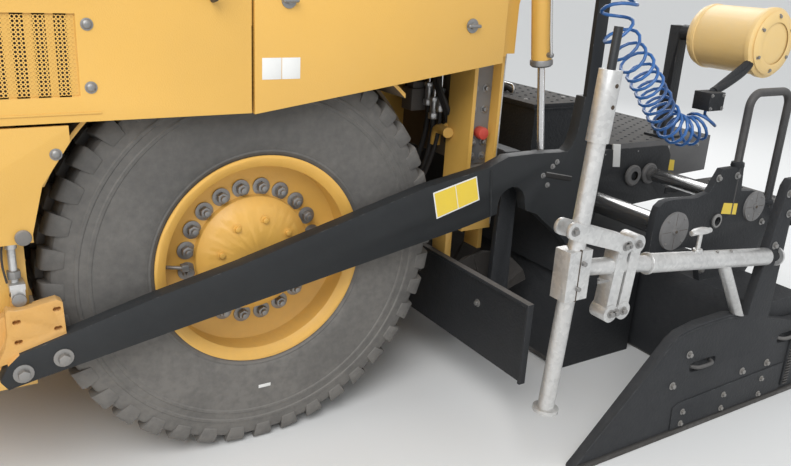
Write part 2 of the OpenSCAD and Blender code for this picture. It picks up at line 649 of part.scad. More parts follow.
// Tow arms: a long plate past the rear wheel, a gooseneck over the auger, and a head at the tow pin
arm_in = arm_face - arm_t;
module tow_arm() {
    difference() {
        plate_y([[785, 524], [754, 552], [374, 654], [118, 712], [-281, 819], [-567, 894], [-830, 939],
            [-920, 974], [-1043, 976], [-1213, 971], [-1236, 994], [-1254, 1043], [-1270, 1180],
            [-1335, 1180], [-1385, 900], [-1385, 430], [-1345, 430], [-1290, 560], [-1247, 611],
            [-1093, 732], [-1038, 754], [-892, 758], [-731, 722], [-289, 643], [52, 580], [324, 533],
            [719, 466], [790, 452], [808, 480]], arm_in, arm_face);
        bar_y(-957, 790, arm_in - 5, arm_face + 5, 66);
        plate_y([[-891, 740], [-891, 790], [-1023, 790], [-1040, 740]], arm_in - 5, arm_face + 5);
    }
    plate_y([[626, 560], [640, 490], [800, 490], [800, 640], [770, 655], [690, 655], [640, 640]],
        tow_y - 14, arm_in + 1);
    difference() {
        plate_y([[628, 590], [626, 560], [720, 536], [812, 520], [787, 570], [777, 610], [776, 676], [768, 683],
            [752, 679], [720, 679], [677, 687], [645, 692], [631, 682]], arm_in, arm_face - 13);
        for (hole = [[751, 644], [751, 584], [647, 664], [648, 606]])
            for (x = [-4, 4]) bar_y(hole.x + x, hole.y, arm_face - 33, arm_face, 7);
        slab([704, tow_y - 14, 656], [768, tow_y + 28, 700]);
    }
    difference() {
        union() {
            slab([tow_pin.x - 20, tow_y - 10, 650], [tow_pin.x + 20, tow_y + 10, tow_pin.y]);
            bar_y(tow_pin.x, tow_pin.y, tow_y - 10, tow_y + 10, 20);
        }
        bar_y(tow_pin.x, tow_pin.y, tow_y - 20, tow_y + 20, tow_pin_r + run_gap);
    }
    slab([-1335, arm_face - 19, 1170], [-1275, arm_face, 1660]);
    slab([-1345, arm_face - 19, 1620], [-1200, 1460, 1660]);
}
module tow_arms() color(black) place() pair() tow_arm();

// Lift cylinders between the body's rear posts and the tow arms
lift_run = lift_eye - lift_top;
lift_len = norm(lift_run);
lift_dir = lift_run / lift_len;
lift_barrel_l = 555;
function on_lift(d) = [lift_top.x + lift_dir.x * d, lift_y, lift_top.y + lift_dir.y * d];
module lift_barrels() color(yellow) place() pair() difference() {
    union() {
        bar_y(lift_top.x, lift_top.y, lift_y - lift_barrel_r, lift_y + lift_barrel_r, lift_barrel_r);
        link(on_lift(10), on_lift(lift_barrel_l), lift_barrel_r);
    }
    bar_y(lift_top.x, lift_top.y, lift_y - 60, lift_y + 60, 15 + run_gap);
    link(on_lift(50), on_lift(lift_barrel_l + 5), lift_rod_r + slide_gap);
}
module lift_rods() color(silver) place() pair() {
    link(on_lift(lift_len - 600), on_lift(lift_len - 15), lift_rod_r);
    bar_y(lift_eye.x, lift_eye.y, lift_y - 12, lift_y + 14, 24);
}

// Main screed: heated body on the ground, bulkhead, housings of the guide tubes, box and walkway
frame_end = 945;
rear_guide_r = 32;
guides_left = [[-1600, 676, guide_r], [-2104, 722, rear_guide_r]];
guides_right = [[-1480, 676, guide_r], [-1990, 722, rear_guide_r]];
deck_rear = walk_rear - 20;
module screed_frame() color(black) place() {
    plate_y([[-1300, 40], [-1300, 330], [-1340, 430], [-1720, 430], [-1750, 400], [-1750, 0], [-1340, 0],
        [-1312, 12]], -screed_half, screed_half);
    slab([-1335, -arm_in, 429], [-1302, arm_in, 860]);
    difference() {
        union() {
            pair() for (y = [frame_end - 25, 300]) plate_y([[-1330, 429], [-1330, 860], [-1700, 860],
                [-2215, 851], [-2250, 800], [-2250, 600], [-walk_rear, 600], [-walk_rear, 560],
                [-2210, 580], [-1780, 560], [-1745, 429]], y, y + 25);
            for (g = concat(guides_left, guides_right)) bar_y(g.x, g.y, -frame_end, frame_end, g.z + 13);
            slab([-deck_rear, -940, 850], [-1830, 940, 880]);
            pair() plate_y([[-1830, 730], [-1830, 860], [-deck_rear, 860], [-deck_rear, 700], [-2280, 690]], 915, 940);
            slab([-deck_rear, -940, 700], [-deck_rear + 12, 940, 860]);
        }
        for (g = concat(guides_left, guides_right))
            bar_y(g.x, g.y, -frame_end - 5, frame_end + 5, g.z + slide_gap);
    }
    slab([-1650, -940, 859], [-1330, 940, 1070]);
    slab([-1660, -942, 1070], [-1320, 942, 1090]);
    slab([-walk_rear, -940, 600], [-2262, 940, 630]);
}

// Drums over the screed's deck, each on a post, and the small junction box that the cord ends in
drum_x = -2250;
drum_z = 1385;
drum_r = 140;
module side_consoles() color(yellow) place() pair() {
    slab([drum_x - 30, 840, 880], [drum_x + 30, 900, drum_z + 30]);
    slab([drum_x - 60, 810, 880], [drum_x + 60, 930, 892]);
    bar_y(drum_x, drum_z, 899, 1010, 36);
    turned_y(drum_x, drum_z, [[0, 1005], [drum_r - 42, 1005], [drum_r - 20, 1012], [drum_r - 6, 1028],
        [drum_r, 1050], [drum_r, 1330], [drum_r + 8, 1330], [drum_r + 8, 1352], [drum_r - 10, 1364],
        [60, 1372], [0, 1372]]);
    link([drum_x + 90, 1340, drum_z - 70], [-1860, 1385, 1190], 14);
    slab([-1890, 1355, 1128], [-1800, 1435, 1200]);
}

// Curly cord between the tow arm's upright and the junction box
cord_y = 1395;
cord_coil_r = 64;
cord_route = [[-1267, 1619.7], [-1262, 1561], [-1247, 1502], [-1262, 1443], [-1321, 1374], [-1400, 1306],
    [-1478, 1227], [-1557, 1143], [-1636, 1074], [-1714, 1045], [-1783, 1050], [-1827, 1079],
    [-1842, 1127.7]];
function unit(v) = v / norm(v);
function cord_way(i) = i == 0 || i == len(cord_route) - 1 ? [0, i == 0 ? -1 : 1]
    : unit(cord_route[i + 1] - cord_route[i - 1]);
module curly_cord() color("#2f63b8") place() pair() {
    sides = 10;
    rings = len(cord_route);
    points = [for (i = [0 : rings - 1]) for (k = [0 : sides - 1])
        let (a = 360 * k / sides, t = cord_way(i), n = [-t.y, t.x])
        [cord_route[i].x + n.x * cord_coil_r * cos(a), cord_y + cord_coil_r * sin(a),
            cord_route[i].y + n.y * cord_coil_r * cos(a)]];
    sides_of = [for (i = [0 : rings - 2]) for (k = [0 : sides - 1])
        [i * sides + k, i * sides + (k + 1) % sides, (i + 1) * sides + (k + 1) % sides, (i + 1) * sides + k]];
    ends = [[for (k = [sides - 1 : -1 : 0]) k], [for (k = [0 : sides - 1]) (rings - 1) * sides + k]];
    polyhedron(points, concat(sides_of, ends));
}

// Screed extensions, each on two guide tubes behind the main screed
ext_end = screed_half + ext_out;
rail_x = [-2225, -1960];
rail_y = 1505;
rail_z = 1207;
rail_r = 17;
rail_bend = 60;
// A quarter bend of the handrail, from level to upright
module elbow() rotate([90, 0, 0]) rotate_extrude(angle = 90) translate([rail_bend, 0]) circle(r = rail_r);
module extension(guides, lead) {
    front = guides[0].x + lead;
    plate_y([[-1790, 12], [-1790, 360], [-1830, 420], [-2130, 420], [-2160, 380], [-2160, 0], [-1800, 0]],
        ext_out + 5, ext_end);
    for (g = guides) {
        bar_y(g.x, g.y, 50, 1495, g.z);
        bar_y(g.x, g.y, 1519, 1532, g.z + 34);
        bar_y(g.x, g.y, 1531, 1538, 14);
    }
    difference() {
        plate_y([[front, 590], [front, 750], [front - 12, 785], [front - 40, 803], [front - 76, 808],
            [-1706, 800], [-1790, 812], [-1850, 905], [-1985, 905], [-2000, 800], [-2092, 790],
            [-2140, 775], [-2175, 735], [-2263, 715], [-2263, 560], [-2140, 400], [-1840, 400],
            [-1780, 570], [-1700, 590]], 1490, 1520);
        bar_y(-1867, 684, 1485, 1525, 20);
    }
    for (x = rail_x) bar_z(x, rail_y, 700, rail_z - rail_bend, rail_r);
    bar_x(rail_y, rail_z, rail_x[0] + rail_bend, rail_x[1] - rail_bend, rail_r);
    translate([rail_x[1] - rail_bend, rail_y, rail_z - rail_bend]) elbow();
    translate([rail_x[0] + rail_bend, rail_y, rail_z - rail_bend]) mirror([1, 0, 0]) elbow();
    slab([-walk_rear, 980, 645], [-2262, 1790, 668]);
    slab([-2540, 1490, 590], [-2249, 1520, 646]);
}
module extension_left() color(black) place() extension(guides_left, 120);
module extension_right() color(black) place() right() extension(guides_right, 75);

// End gates: plates that close the screed's ends and slide up on their posts
gate_y = ext_end + 8;
gate_side = [[-860, 0], [-862, 12], [-885, 32], [-1270, 405], [-1310, 430], [-1410, 447], [-1580, 452],
    [-1640, 440], [-1700, 424], [-1780, 925], [-1800, 950], [-1840, 950], [-1840, 386], [-2000, 345],
    [-2220, 330], [-2240, 310], [-2240, 0]];
module end_gate() color(black) place() {
    difference() {
        plate_y(gate_side, gate_y, gate_y + gate_t);
        for (x = [-1420, -1960]) for (dx = [0, 110]) bar_y(x - dx, 270, gate_y + gate_t - 14, gate_y + gate_t + 5, 20);
        for (x = [-1420, -1960]) slab([x - 110, gate_y + gate_t - 14, 250], [x, gate_y + gate_t + 5, 290]);
    }
    for (x = [-1860, -2120]) slab([x, ext_end + slide_gap, 30], [x + 30, gate_y + 1, 330]);
}

// Sensor masts: an upright tube with its head, carried by a telescopic tube on the end gate
mast_y = 1840;
mast_in = mast_y - 32;
mast_out = mast_y + 32;
// A flat link with round ends between two points of x and z
module flat_link(from, to, r, y0, y1) {
    run = to - from;
    side = [-run.y, run.x] * r / norm(run);
    plate_y([from + side, to + side, to - side, from - side], y0, y1);
    for (end = [from, to]) bar_y(end.x, end.y, y0, y1, r);
}
module mast() color(silver) place() {
    link([-694, mast_y, 300], [-766, mast_y, 1290], mast_r);
    link([-693, mast_y, 288], [-694, mast_y, 301], 42);
    link([-757, mast_y, 1165], [-772, mast_y, 1372], 34);
    link([-772, mast_y, 1370], [-779, mast_y, 1490], 13);
    slab([-772, mast_in, 680], [-680, mast_out, 840]);
    flat_link([-686, 908], [-928, 830], 26, mast_in, mast_in + 12);
    flat_link([-686, 908], [-928, 830], 26, mast_out - 12, mast_out);
    for (x = [-905, -962]) flat_link([x - 12, 828], [x + 10, 602], 22, mast_in + 4, mast_out - 4);
    for (end = [[-917, 828], [-974, 828], [-895, 602], [-952, 602]]) bar_y(end.x, end.y, mast_in, mast_out, 30);
    link([-740, mast_y, 775], [-1100, mast_y, 733], 27);
    link([-1060, mast_y, 738], [-1805, mast_y, 650], 33);
    link([-1473, mast_y, 690], [-1650, mast_y, 420], 22);
    bar_z(-1322, mast_y, 700, 812, 8);
    bar_x(mast_y, 812, -1372, -1272, 9);
}
module mast_seated() difference() {
    mast();
    color(silver) place() {
        plate_y([[-1700, 300], [-1700, 424], [-1790, 990], [-1940, 990], [-1840, 300]], gate_y - 5, gate_y + gate_t + 60);
        plate_y([for (p = gate_side) if (p.x > -1750 && p.y > 0) p], gate_y - 5, gate_y + gate_t + 60);
    }
}

main_frame();
tunnel();
nose_frame();
rear_posts();
engine();
hood();
side_panels();
platform();
operator_stand();
seat_pads();
canopy_frame();
canopy_roof();
exhaust();
lamps();
hopper_frame();
conveyors();
rear_axle();
tow_brackets();
levelling_rods();
auger_frame();
door();  // door_left
right() door();  // door_right
wing();  // wing_left
right() wing();  // wing_right
wing_barrel();  // wing_barrel_left
right() wing_barrel();  // wing_barrel_right
wing_rod();  // wing_rod_left
right() wing_rod();  // wing_rod_right
push_beam();
push_roller();  // push_roller_left
right() push_roller();  // push_roller_right
bogie();  // bogie_left
right() bogie();  // bogie_right
front_wheel(1);  // front_wheel_left_1
front_wheel(-1);  // front_wheel_left_2
right() front_wheel(1);  // front_wheel_right_1
right() front_wheel(-1);  // front_wheel_right_2
rear_tyre();  // rear_tyre_left
right() rear_tyre();  // rear_tyre_right
rear_rim();  // rear_rim_left
right() rear_rim();  // rear_rim_right
auger(1);  // auger_left
right() auger(1);  // auger_right
tow_arms();
screed_frame();
side_consoles();
curly_cord();
lift_barrels();
lift_rods();
extension_left();
extension_right();
end_gate();  // end_gate_left
right() end_gate();  // end_gate_right
mast_seated();  // mast_left
right() mast_seated();  // mast_right
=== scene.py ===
import json
import math

import bpy
from mathutils import Matrix, Vector


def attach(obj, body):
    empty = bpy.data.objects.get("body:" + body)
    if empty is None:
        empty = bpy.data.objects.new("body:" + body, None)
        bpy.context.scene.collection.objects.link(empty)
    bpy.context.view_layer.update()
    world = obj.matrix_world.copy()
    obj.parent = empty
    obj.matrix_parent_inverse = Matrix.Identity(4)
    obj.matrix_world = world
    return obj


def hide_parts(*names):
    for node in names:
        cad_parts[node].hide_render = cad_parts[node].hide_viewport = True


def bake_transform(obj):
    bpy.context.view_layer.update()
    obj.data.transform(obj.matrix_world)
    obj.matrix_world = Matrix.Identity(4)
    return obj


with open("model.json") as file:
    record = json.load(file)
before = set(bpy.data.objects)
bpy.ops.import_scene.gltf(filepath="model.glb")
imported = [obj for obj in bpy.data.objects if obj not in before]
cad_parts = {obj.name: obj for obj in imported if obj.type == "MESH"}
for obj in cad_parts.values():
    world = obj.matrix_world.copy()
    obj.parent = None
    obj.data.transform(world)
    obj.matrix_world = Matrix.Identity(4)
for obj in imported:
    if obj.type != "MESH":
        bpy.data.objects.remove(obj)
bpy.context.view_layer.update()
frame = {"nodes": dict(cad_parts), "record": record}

nodes = frame["nodes"]
body_of = {node: body for body, members in frame["record"]["behaviour"]["bodies"].items() for node in members}


# The view: the camera stands to the left of the rear wheel and looks down across it at the screed,
# a little rolled, with the lens that the wheel's and the panels' lines give.
eye = Vector((0.3492, 3.4141, 1.6251))
yaw, pitch, roll = 0.57477, 0.33300, 0.05868
forward = Vector((-math.sin(yaw) * math.cos(pitch), -math.cos(yaw) * math.cos(pitch), -math.sin(pitch)))
level = forward.cross(Vector((0, 0, 1))).normalized()
rise = level.cross(forward)
right_of = level * math.cos(roll) + rise * math.sin(roll)
top_of = rise * math.cos(roll) - level * math.sin(roll)
bpy.ops.object.camera_add()
camera = bpy.context.object
camera.data.sensor_width = 36
camera.data.lens = 35.63
camera.matrix_world = Matrix.Translation(eye) @ Matrix((right_of, top_of, -forward)).transposed().to_4x4()
bpy.context.scene.camera = camera
bpy.context.scene.view_settings.view_transform = "Standard"


# The studio: a pale floor under an even sky, one soft lamp from above the left side and a weak one
# from behind, so that the black steel keeps its edges.
def wire(tree, source, target):
    tree.links.new(source, target)


def node_of(tree, kind, **values):
    made = tree.nodes.new(kind)
    for name, value in values.items():
        setattr(made, name, value)
    return made


world = bpy.data.worlds.new("sky")
bpy.context.scene.world = world
world.use_nodes = True
sky = world.node_tree
sky.nodes.clear()
rays = node_of(sky, "ShaderNodeLightPath")
seen_or_glossy = node_of(sky, "ShaderNodeMath", operation="MAXIMUM")
seen = node_of(sky, "ShaderNodeMath", operation="MAXIMUM")
wire(sky, rays.outputs["Is Glossy Ray"], seen_or_glossy.inputs[0])
wire(sky, rays.outputs["Is Transmission Ray"], seen_or_glossy.inputs[1])
wire(sky, rays.outputs["Is Camera Ray"], seen.inputs[0])
wire(sky, seen_or_glossy.outputs[0], seen.inputs[1])
tint = node_of(sky, "ShaderNodeMix", data_type="RGBA")
tint.inputs[6].default_value = (0.74, 0.76, 0.78, 1)
tint.inputs[7].default_value = (0.90, 0.905, 0.91, 1)
wire(sky, seen.outputs[0], tint.inputs[0])
light_out = node_of(sky, "ShaderNodeBackground")
wire(sky, tint.outputs[2], light_out.inputs["Color"])
wire(sky, light_out.outputs[0], node_of(sky, "ShaderNodeOutputWorld").inputs["Surface"])

for place, energy, size in (((2.5, 5.0, 5.5), 330, 4.0), ((-5.0, -3.5, 4.5), 180, 4.0), ((5.0, -3.0, 4.5), 140, 4.0)):
    bpy.ops.object.light_add(type="AREA", location=place)
    lamp = bpy.context.object
    lamp.data.energy = energy
    lamp.data.size = size
    lamp.rotation_euler = (Vector((-0.6, 0.6, 0.7)) - Vector(place)).to_track_quat("-Z", "Y").to_euler()

bpy.ops.mesh.primitive_plane_add(size=500, location=(0, 0, 0))
floor = bpy.context.object
floor.name = "floor"
floor_material = bpy.data.materials.new("pale_floor")
floor_material.use_nodes = True
floor_shade = floor_material.node_tree.nodes["Principled BSDF"]
floor_shade.inputs["Base Color"].default_value = (0.78, 0.78, 0.77, 1)
floor_shade.inputs["Roughness"].default_value = 0.75
floor.data.materials.append(floor_material)


# Curly cords: on each side one blue lead for the side's control box, sprung into a coil, from the tow
# arm's upright down to the junction box. It is stretched open at the top and bunches where it sags.
def at(x, y, z):
    """A point given in millimetres, with x from the rear axle, in the machine's own frame in metres."""
    return Vector(((x - 590) / 1000, y / 1000, z / 1000))


cord_line = [at(x, 1395, z) for x, z in (
    (-1267, 1619.7), (-1262, 1561), (-1247, 1502), (-1262, 1443), (-1321, 1374), (-1400, 1306), (-1478, 1227),
    (-1557, 1143), (-1636, 1074), (-1714, 1045), (-1783, 1050), (-1827, 1079), (-1842, 1127.7))]
cord_d = 0.0125
cord_coil = 0.057
pitch_top, pitch_low = 0.088, 0.044   # metres a turn, where the coil is drawn open and where it bunches
straight_end = 0.06                   # the share of the line over which the coil swells at each end
turn_points = 15


def along(points, count):
    """Points spaced evenly along a smooth line through the given points."""
    ends = [2 * points[0] - points[1]] + points + [2 * points[-1] - points[-2]]
    fine = []
    for a, b, c, d in zip(ends, ends[1:], ends[2:], ends[3:]):
        for k in range(24):
            t = k / 24
            fine.append(0.5 * (2 * b + (c - a) * t + (2 * a - 5 * b + 4 * c - d) * t ** 2
                               + (3 * b - a - 3 * c + d) * t ** 3))
    fine.append(points[-1])
    far = [0.0]
    for a, b in zip(fine, fine[1:]):
        far.append(far[-1] + (b - a).length)
    even, j = [], 0
    for k in range(count):
        want = far[-1] * k / (count - 1)
        while j < len(far) - 2 and far[j + 1] < want:
            j += 1
        t = (want - far[j]) / (far[j + 1] - far[j])
        even.append(fine[j].lerp(fine[j + 1], t))
    return even, far[-1]


def curly_path():
    steps = 900
    line, long = along(cord_line, steps)
    turn, path = 0.0, []
    for k, p in enumerate(line):
        u = k / (steps - 1)
        ahead = (line[min(k + 1, steps - 1)] - line[max(k - 1, 0)]).normalized()
        out = Vector((-ahead.z, 0, ahead.x))
        beside = ahead.cross(out)
        swell = min(1.0, u / straight_end, (1 - u) / straight_end)
        swell = swell * swell * (3 - 2 * swell)
        bunched = min(1.0, max(0.0, (u - 0.16) / 0.30))
        open_pitch = pitch_top - (pitch_top - pitch_low) * bunched + 0.16 * (1 - swell)
        turn += 2 * math.pi * (long / (steps - 1)) / open_pitch
        r = cord_coil * swell * (1 + 0.04 * math.sin(turn / 2))
        path.append((p + (out * math.cos(turn) + beside * math.sin(turn)) * r, turn))
    kept, last = [path[0][0]], 0.0
    for p, turn in path[1:-1]:
        if turn - last >= 2 * math.pi / turn_points and (p - kept[-1]).length > 0.002:
            kept.append(p)
            last = turn
    kept.append(path[-1][0])
    return kept


curly = curly_path()
cords = []
for side, sign in (("left", 1), ("right", -1)):
    bpy.ops.curve.primitive_bezier_curve_add()
    cord = bpy.context.object
    cord.name = "curly_lead_" + side
    cord.location = (0, 0, 0)
    cord.data.splines.clear()
    spline = cord.data.splines.new("POLY")
    spline.points.add(len(curly) - 1)
    for point, p in zip(spline.points, curly):
        point.co = (p.x, sign * p.y, p.z, 1)
        point.radius = 0.01
    cord.data.bevel_depth = cord_d / 2 / 0.01
    cord.data.bevel_resolution = 3
    cord.data.use_fill_caps = True
    for s in cord.data.splines:
        s.use_smooth = True
    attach(cord, "screed")
    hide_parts("curly_cord")
    cords.append(cord)


# Body panels: pressed sheet in yellow machine paint, bolted to the frame. The paint has a faint
# orange peel, dulls with dust where it faces up or hangs low, and wears pale along its edges.
def socket_group(name, inputs, outputs):
    group = bpy.data.node_groups.new(name, "ShaderNodeTree")
    for label, kind, value in inputs:
        made = group.interface.new_socket(name=label, in_out="INPUT", socket_type=kind)
        if value is not None:
            made.default_value = value
    for label, kind in outputs:
        group.interface.new_socket(name=label, in_out="OUTPUT", socket_type=kind)
    return group, group.nodes.new("NodeGroupInput"), group.nodes.new("NodeGroupOutput")


def feed(tree, value, socket):
    """Gives a socket a plain number or a colour, or wires another socket to it."""
    if isinstance(value, tuple):
        socket.default_value = (*value, 1)
    elif isinstance(value, (int, float)):
        socket.default_value = value
    else:
        wire(tree, value, socket)


def number(tree, operation, a, b, clamp=False):
    """A Math node; a and b are sockets or plain numbers."""
    made = node_of(tree, "ShaderNodeMath", operation=operation, use_clamp=clamp)
    feed(tree, a, made.inputs[0])
    feed(tree, b, made.inputs[1])
    return made.outputs[0]


def times(tree, a, b, clamp=False):
    return number(tree, "MULTIPLY", a, b, clamp)


def plus(tree, a, b, clamp=False):
    return number(tree, "ADD", a, b, clamp)


def noise(tree, vector, scale, detail=3.0, rough=0.55):
    made = node_of(tree, "ShaderNodeTexNoise")
    for label, value in (("Vector", vector), ("Scale", scale), ("Detail", detail), ("Roughness", rough)):
        feed(tree, value, made.inputs[label])
    return made.outputs["Fac"]


edge_wear, into, out = socket_group(
    "edge_wear",
    (("Vector", "NodeSocketVector", None), ("Width", "NodeSocketFloat", 0.006), ("Amount", "NodeSocketFloat", 0.5),
     ("Scale", "NodeSocketFloat", 30.0)),
    (("Mask", "NodeSocketFloat"),))
rounded = node_of(edge_wear, "ShaderNodeBevel", samples=4)
wire(edge_wear, into.outputs["Width"], rounded.inputs["Radius"])
facing = node_of(edge_wear, "ShaderNodeNewGeometry")
turned = node_of(edge_wear, "ShaderNodeVectorMath", operation="DOT_PRODUCT")
wire(edge_wear, rounded.outputs[0], turned.inputs[0])
wire(edge_wear, facing.outputs["Normal"], turned.inputs[1])
near = times(edge_wear, number(edge_wear, "SUBTRACT", 1.0, turned.outputs["Value"]), 5.0, True)
chips = number(edge_wear, "SUBTRACT",
               noise(edge_wear, into.outputs["Vector"], into.outputs["Scale"], 5.0, 0.65), 0.62)
worn = plus(edge_wear, times(edge_wear, chips, 5.0), into.outputs["Amount"])
wire(edge_wear, times(edge_wear, near, worn, True), out.inputs["Mask"])

road_dust, into, out = socket_group(
    "road_dust",
    (("Vector", "NodeSocketVector", None), ("Amount", "NodeSocketFloat", 0.3), ("Low", "NodeSocketFloat", 1.2),
     ("Scale", "NodeSocketFloat", 3.0)),
    (("Mask", "NodeSocketFloat"),))
facing = node_of(road_dust, "ShaderNodeNewGeometry")
up = node_of(road_dust, "ShaderNodeSeparateXYZ")
wire(road_dust, facing.outputs["Normal"], up.inputs[0])
height = node_of(road_dust, "ShaderNodeSeparateXYZ")
wire(road_dust, into.outputs["Vector"], height.inputs[0])
low = number(road_dust, "SUBTRACT", 1.0, number(road_dust, "DIVIDE", height.outputs["Z"], into.outputs["Low"]), True)
lies = times(road_dust, number(road_dust, "MAXIMUM", up.outputs["Z"], 0.0), 0.55)
settled = plus(road_dust, plus(road_dust, lies, times(road_dust, low, 0.75)), 0.18)
cloud = times(road_dust, noise(road_dust, into.outputs["Vector"], into.outputs["Scale"], 6.0, 0.6),
              plus(road_dust, noise(road_dust, into.outputs["Vector"], 42.0, 3.0), 0.5))
amount = times(road_dust, into.outputs["Amount"], 3.4)
wire(road_dust, times(road_dust, times(road_dust, settled, cloud), amount, True), out.inputs["Mask"])


def blended(tree, factor, first, second):
    """A colour between two colours; each is a socket or a plain triple."""
    made = node_of(tree, "ShaderNodeMix", data_type="RGBA")
    for k, value in ((0, factor), (6, first), (7, second)):
        feed(tree, value, made.inputs[k])
    return made.outputs[2]


def placed(tree, group, vector, **values):
    made = node_of(tree, "ShaderNodeGroup", node_tree=group)
    wire(tree, vector, made.inputs["Vector"])
    for name, value in values.items():
        made.inputs[name].default_value = value
    return made.outputs[0]


def surface(name):
    """A new material with its tree, its shader and the object's own coordinates."""
    made = bpy.data.materials.new(name)
    made.use_nodes = True
    tree = made.node_tree
    return made, tree, tree.nodes["Principled BSDF"], node_of(tree, "ShaderNodeTexCoord").outputs["Object"]


def embossed(tree, shade, height, strength, distance):
    """Bends the shader's normal by a height."""
    relief = node_of(tree, "ShaderNodeBump")
    relief.inputs["Strength"].default_value = strength
    relief.inputs["Distance"].default_value = distance
    wire(tree, height, relief.inputs["Height"])
    wire(tree, relief.outputs[0], shade.inputs["Normal"])


def coating(name, colour, rough, metal=0.0, edge=0.3, bare=(0.42, 0.40, 0.37), bare_metal=0.3, dust=0.3,
            dust_colour=(0.34, 0.31, 0.27), low=1.2, mottle=0.12, grain=240.0, depth=0.00012, coat=0.0):
    """A painted or bare metal surface: colour that varies, worn edges, dust and a fine grain."""
    made, tree, shade, where = surface(name)
    shade.inputs["Specular IOR Level"].default_value = 0.35 if max(colour) < 0.05 else 0.5
    uneven = noise(tree, where, 2.3, 5.0, 0.6)
    darker = tuple(c * (1 - mottle * 2.2) for c in colour)
    paler = tuple(min(1.0, c * (1 + mottle)) for c in colour)
    base = blended(tree, uneven, darker, paler)
    if edge > 0:
        worn = placed(tree, edge_wear, where, Width=0.004, Amount=edge, Scale=26.0)
        base = blended(tree, worn, base, bare)
        wire(tree, plus(tree, metal, times(tree, worn, bare_metal), True), shade.inputs["Metallic"])
    else:
        shade.inputs["Metallic"].default_value = metal
    film = placed(tree, road_dust, where, Amount=dust, Low=low, Scale=2.6)
    base = blended(tree, film, base, dust_colour)
    wire(tree, base, shade.inputs["Base Color"])
    streak = times(tree, noise(tree, where, 17.0, 4.0), 0.16)
    rougher = plus(tree, times(tree, film, 0.35), rough - 0.08)
    wire(tree, plus(tree, rougher, streak, True), shade.inputs["Roughness"])
    if coat > 0:
        shade.inputs["Coat Weight"].default_value = coat
        shade.inputs["Coat Roughness"].default_value = 0.12
    embossed(tree, shade, noise(tree, where, grain, 2.0), 0.5, depth * 10)
    return made


yellow_paint = coating("yellow_paint", (0.755, 0.435, 0.088), 0.42, edge=0.10, bare=(0.70, 0.58, 0.38), bare_metal=0.0,
                       dust=0.16, dust_colour=(0.58, 0.44, 0.25), low=0.9, mottle=0.045, coat=0.12)


def dressed(node, material):
    """A CAD node keeps its shape and gets a finish."""
    nodes[node].data.materials.clear()
    nodes[node].data.materials.append(material)


def alone(piece):
    """Selects one piece only and makes it active."""
    bpy.ops.object.select_all(action="DESELECT")
    piece.select_set(True)
    bpy.context.view_layer.objects.active = piece


def softened(piece, width, segments=2, angle=35):
    """Rounds every edge that is sharper than the angle."""
    alone(piece)
    bevel = piece.modifiers.new("softened", "BEVEL")
    bevel.width = width
    bevel.segments = segments
    bevel.limit_method = "ANGLE"
    bevel.angle_limit = math.radians(angle)
    bpy.ops.object.modifier_apply(modifier="softened")


skins = {}


def eased(node, width, material, segments=2):
    """A copy of a CAD node with its edges eased by a small round, which stands for the node."""
    piece = nodes[node].copy()
    piece.data = nodes[node].data.copy()
    bpy.context.scene.collection.objects.link(piece)
    piece.name = node + "_eased"
    for key in list(piece.keys()):
        del piece[key]
    piece.parent = None
    alone(piece)
    bpy.ops.object.mode_set(mode="EDIT")
    bpy.ops.mesh.select_all(action="SELECT")
    bpy.ops.mesh.remove_doubles(threshold=0.00002)
    bpy.ops.mesh.dissolve_limited(angle_limit=math.radians(0.6))
    bpy.ops.object.mode_set(mode="OBJECT")
    softened(piece, width, segments)
    bpy.ops.object.shade_smooth_by_angle(angle=math.radians(32))
    piece.data.materials.clear()
    piece.data.materials.append(material)
    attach(piece, body_of[node])
    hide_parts(node)
    skins[node] = piece
    return piece


for node in ("side_panels", "door_left", "door_right", "hood"):
    eased(node, 0.003, yellow_paint)


# Frame and fixed yellow steel: cut and welded plate, painted in one piece with the machine.
for node in ("main_frame", "tunnel", "nose_frame", "rear_posts", "rear_axle", "hopper_frame", "tow_brackets"):
    eased(node, 0.003, yellow_paint)


def done(piece, name, material, smooth=32):
    """Settles a piece's place in its mesh, gives it its name and finish, and smooths its rounds."""
    alone(piece)
    bpy.ops.object.transform_apply(location=True, rotation=True, scale=True)
    bpy.ops.object.shade_smooth_by_angle(angle=math.radians(smooth))
    piece.name = name
    piece.data.materials.clear()
    piece.data.materials.append(material)
    return piece


def block(name, low, high, material, width=0.003, segments=2):
    """A block between two corners, with eased edges."""
    low, high = Vector(low), Vector(high)
    bpy.ops.mesh.primitive_cube_add(size=1, location=(low + high) / 2)
    piece = bpy.context.object
    piece.scale = [abs(h - l) for l, h in zip(low, high)]
    alone(piece)
    bpy.ops.object.transform_apply(location=True, rotation=True, scale=True)
    if width > 0:
        softened(piece, width, segments)
    return done(piece, name, material)


def rod(name, start, end, radius, material, width=0.002, sides=32):
    """A round bar between two points."""
    start, end = Vector(start), Vector(end)
    bpy.ops.mesh.primitive_cone_add(vertices=sides, radius1=radius, radius2=radius, depth=(end - start).length,
                                    location=(0, 0, 0))
    piece = bpy.context.object
    if width > 0:
        softened(piece, width, 2, 50)
    piece.data.transform(facing_to((start + end) / 2, end - start))
    return done(piece, name, material, 40)


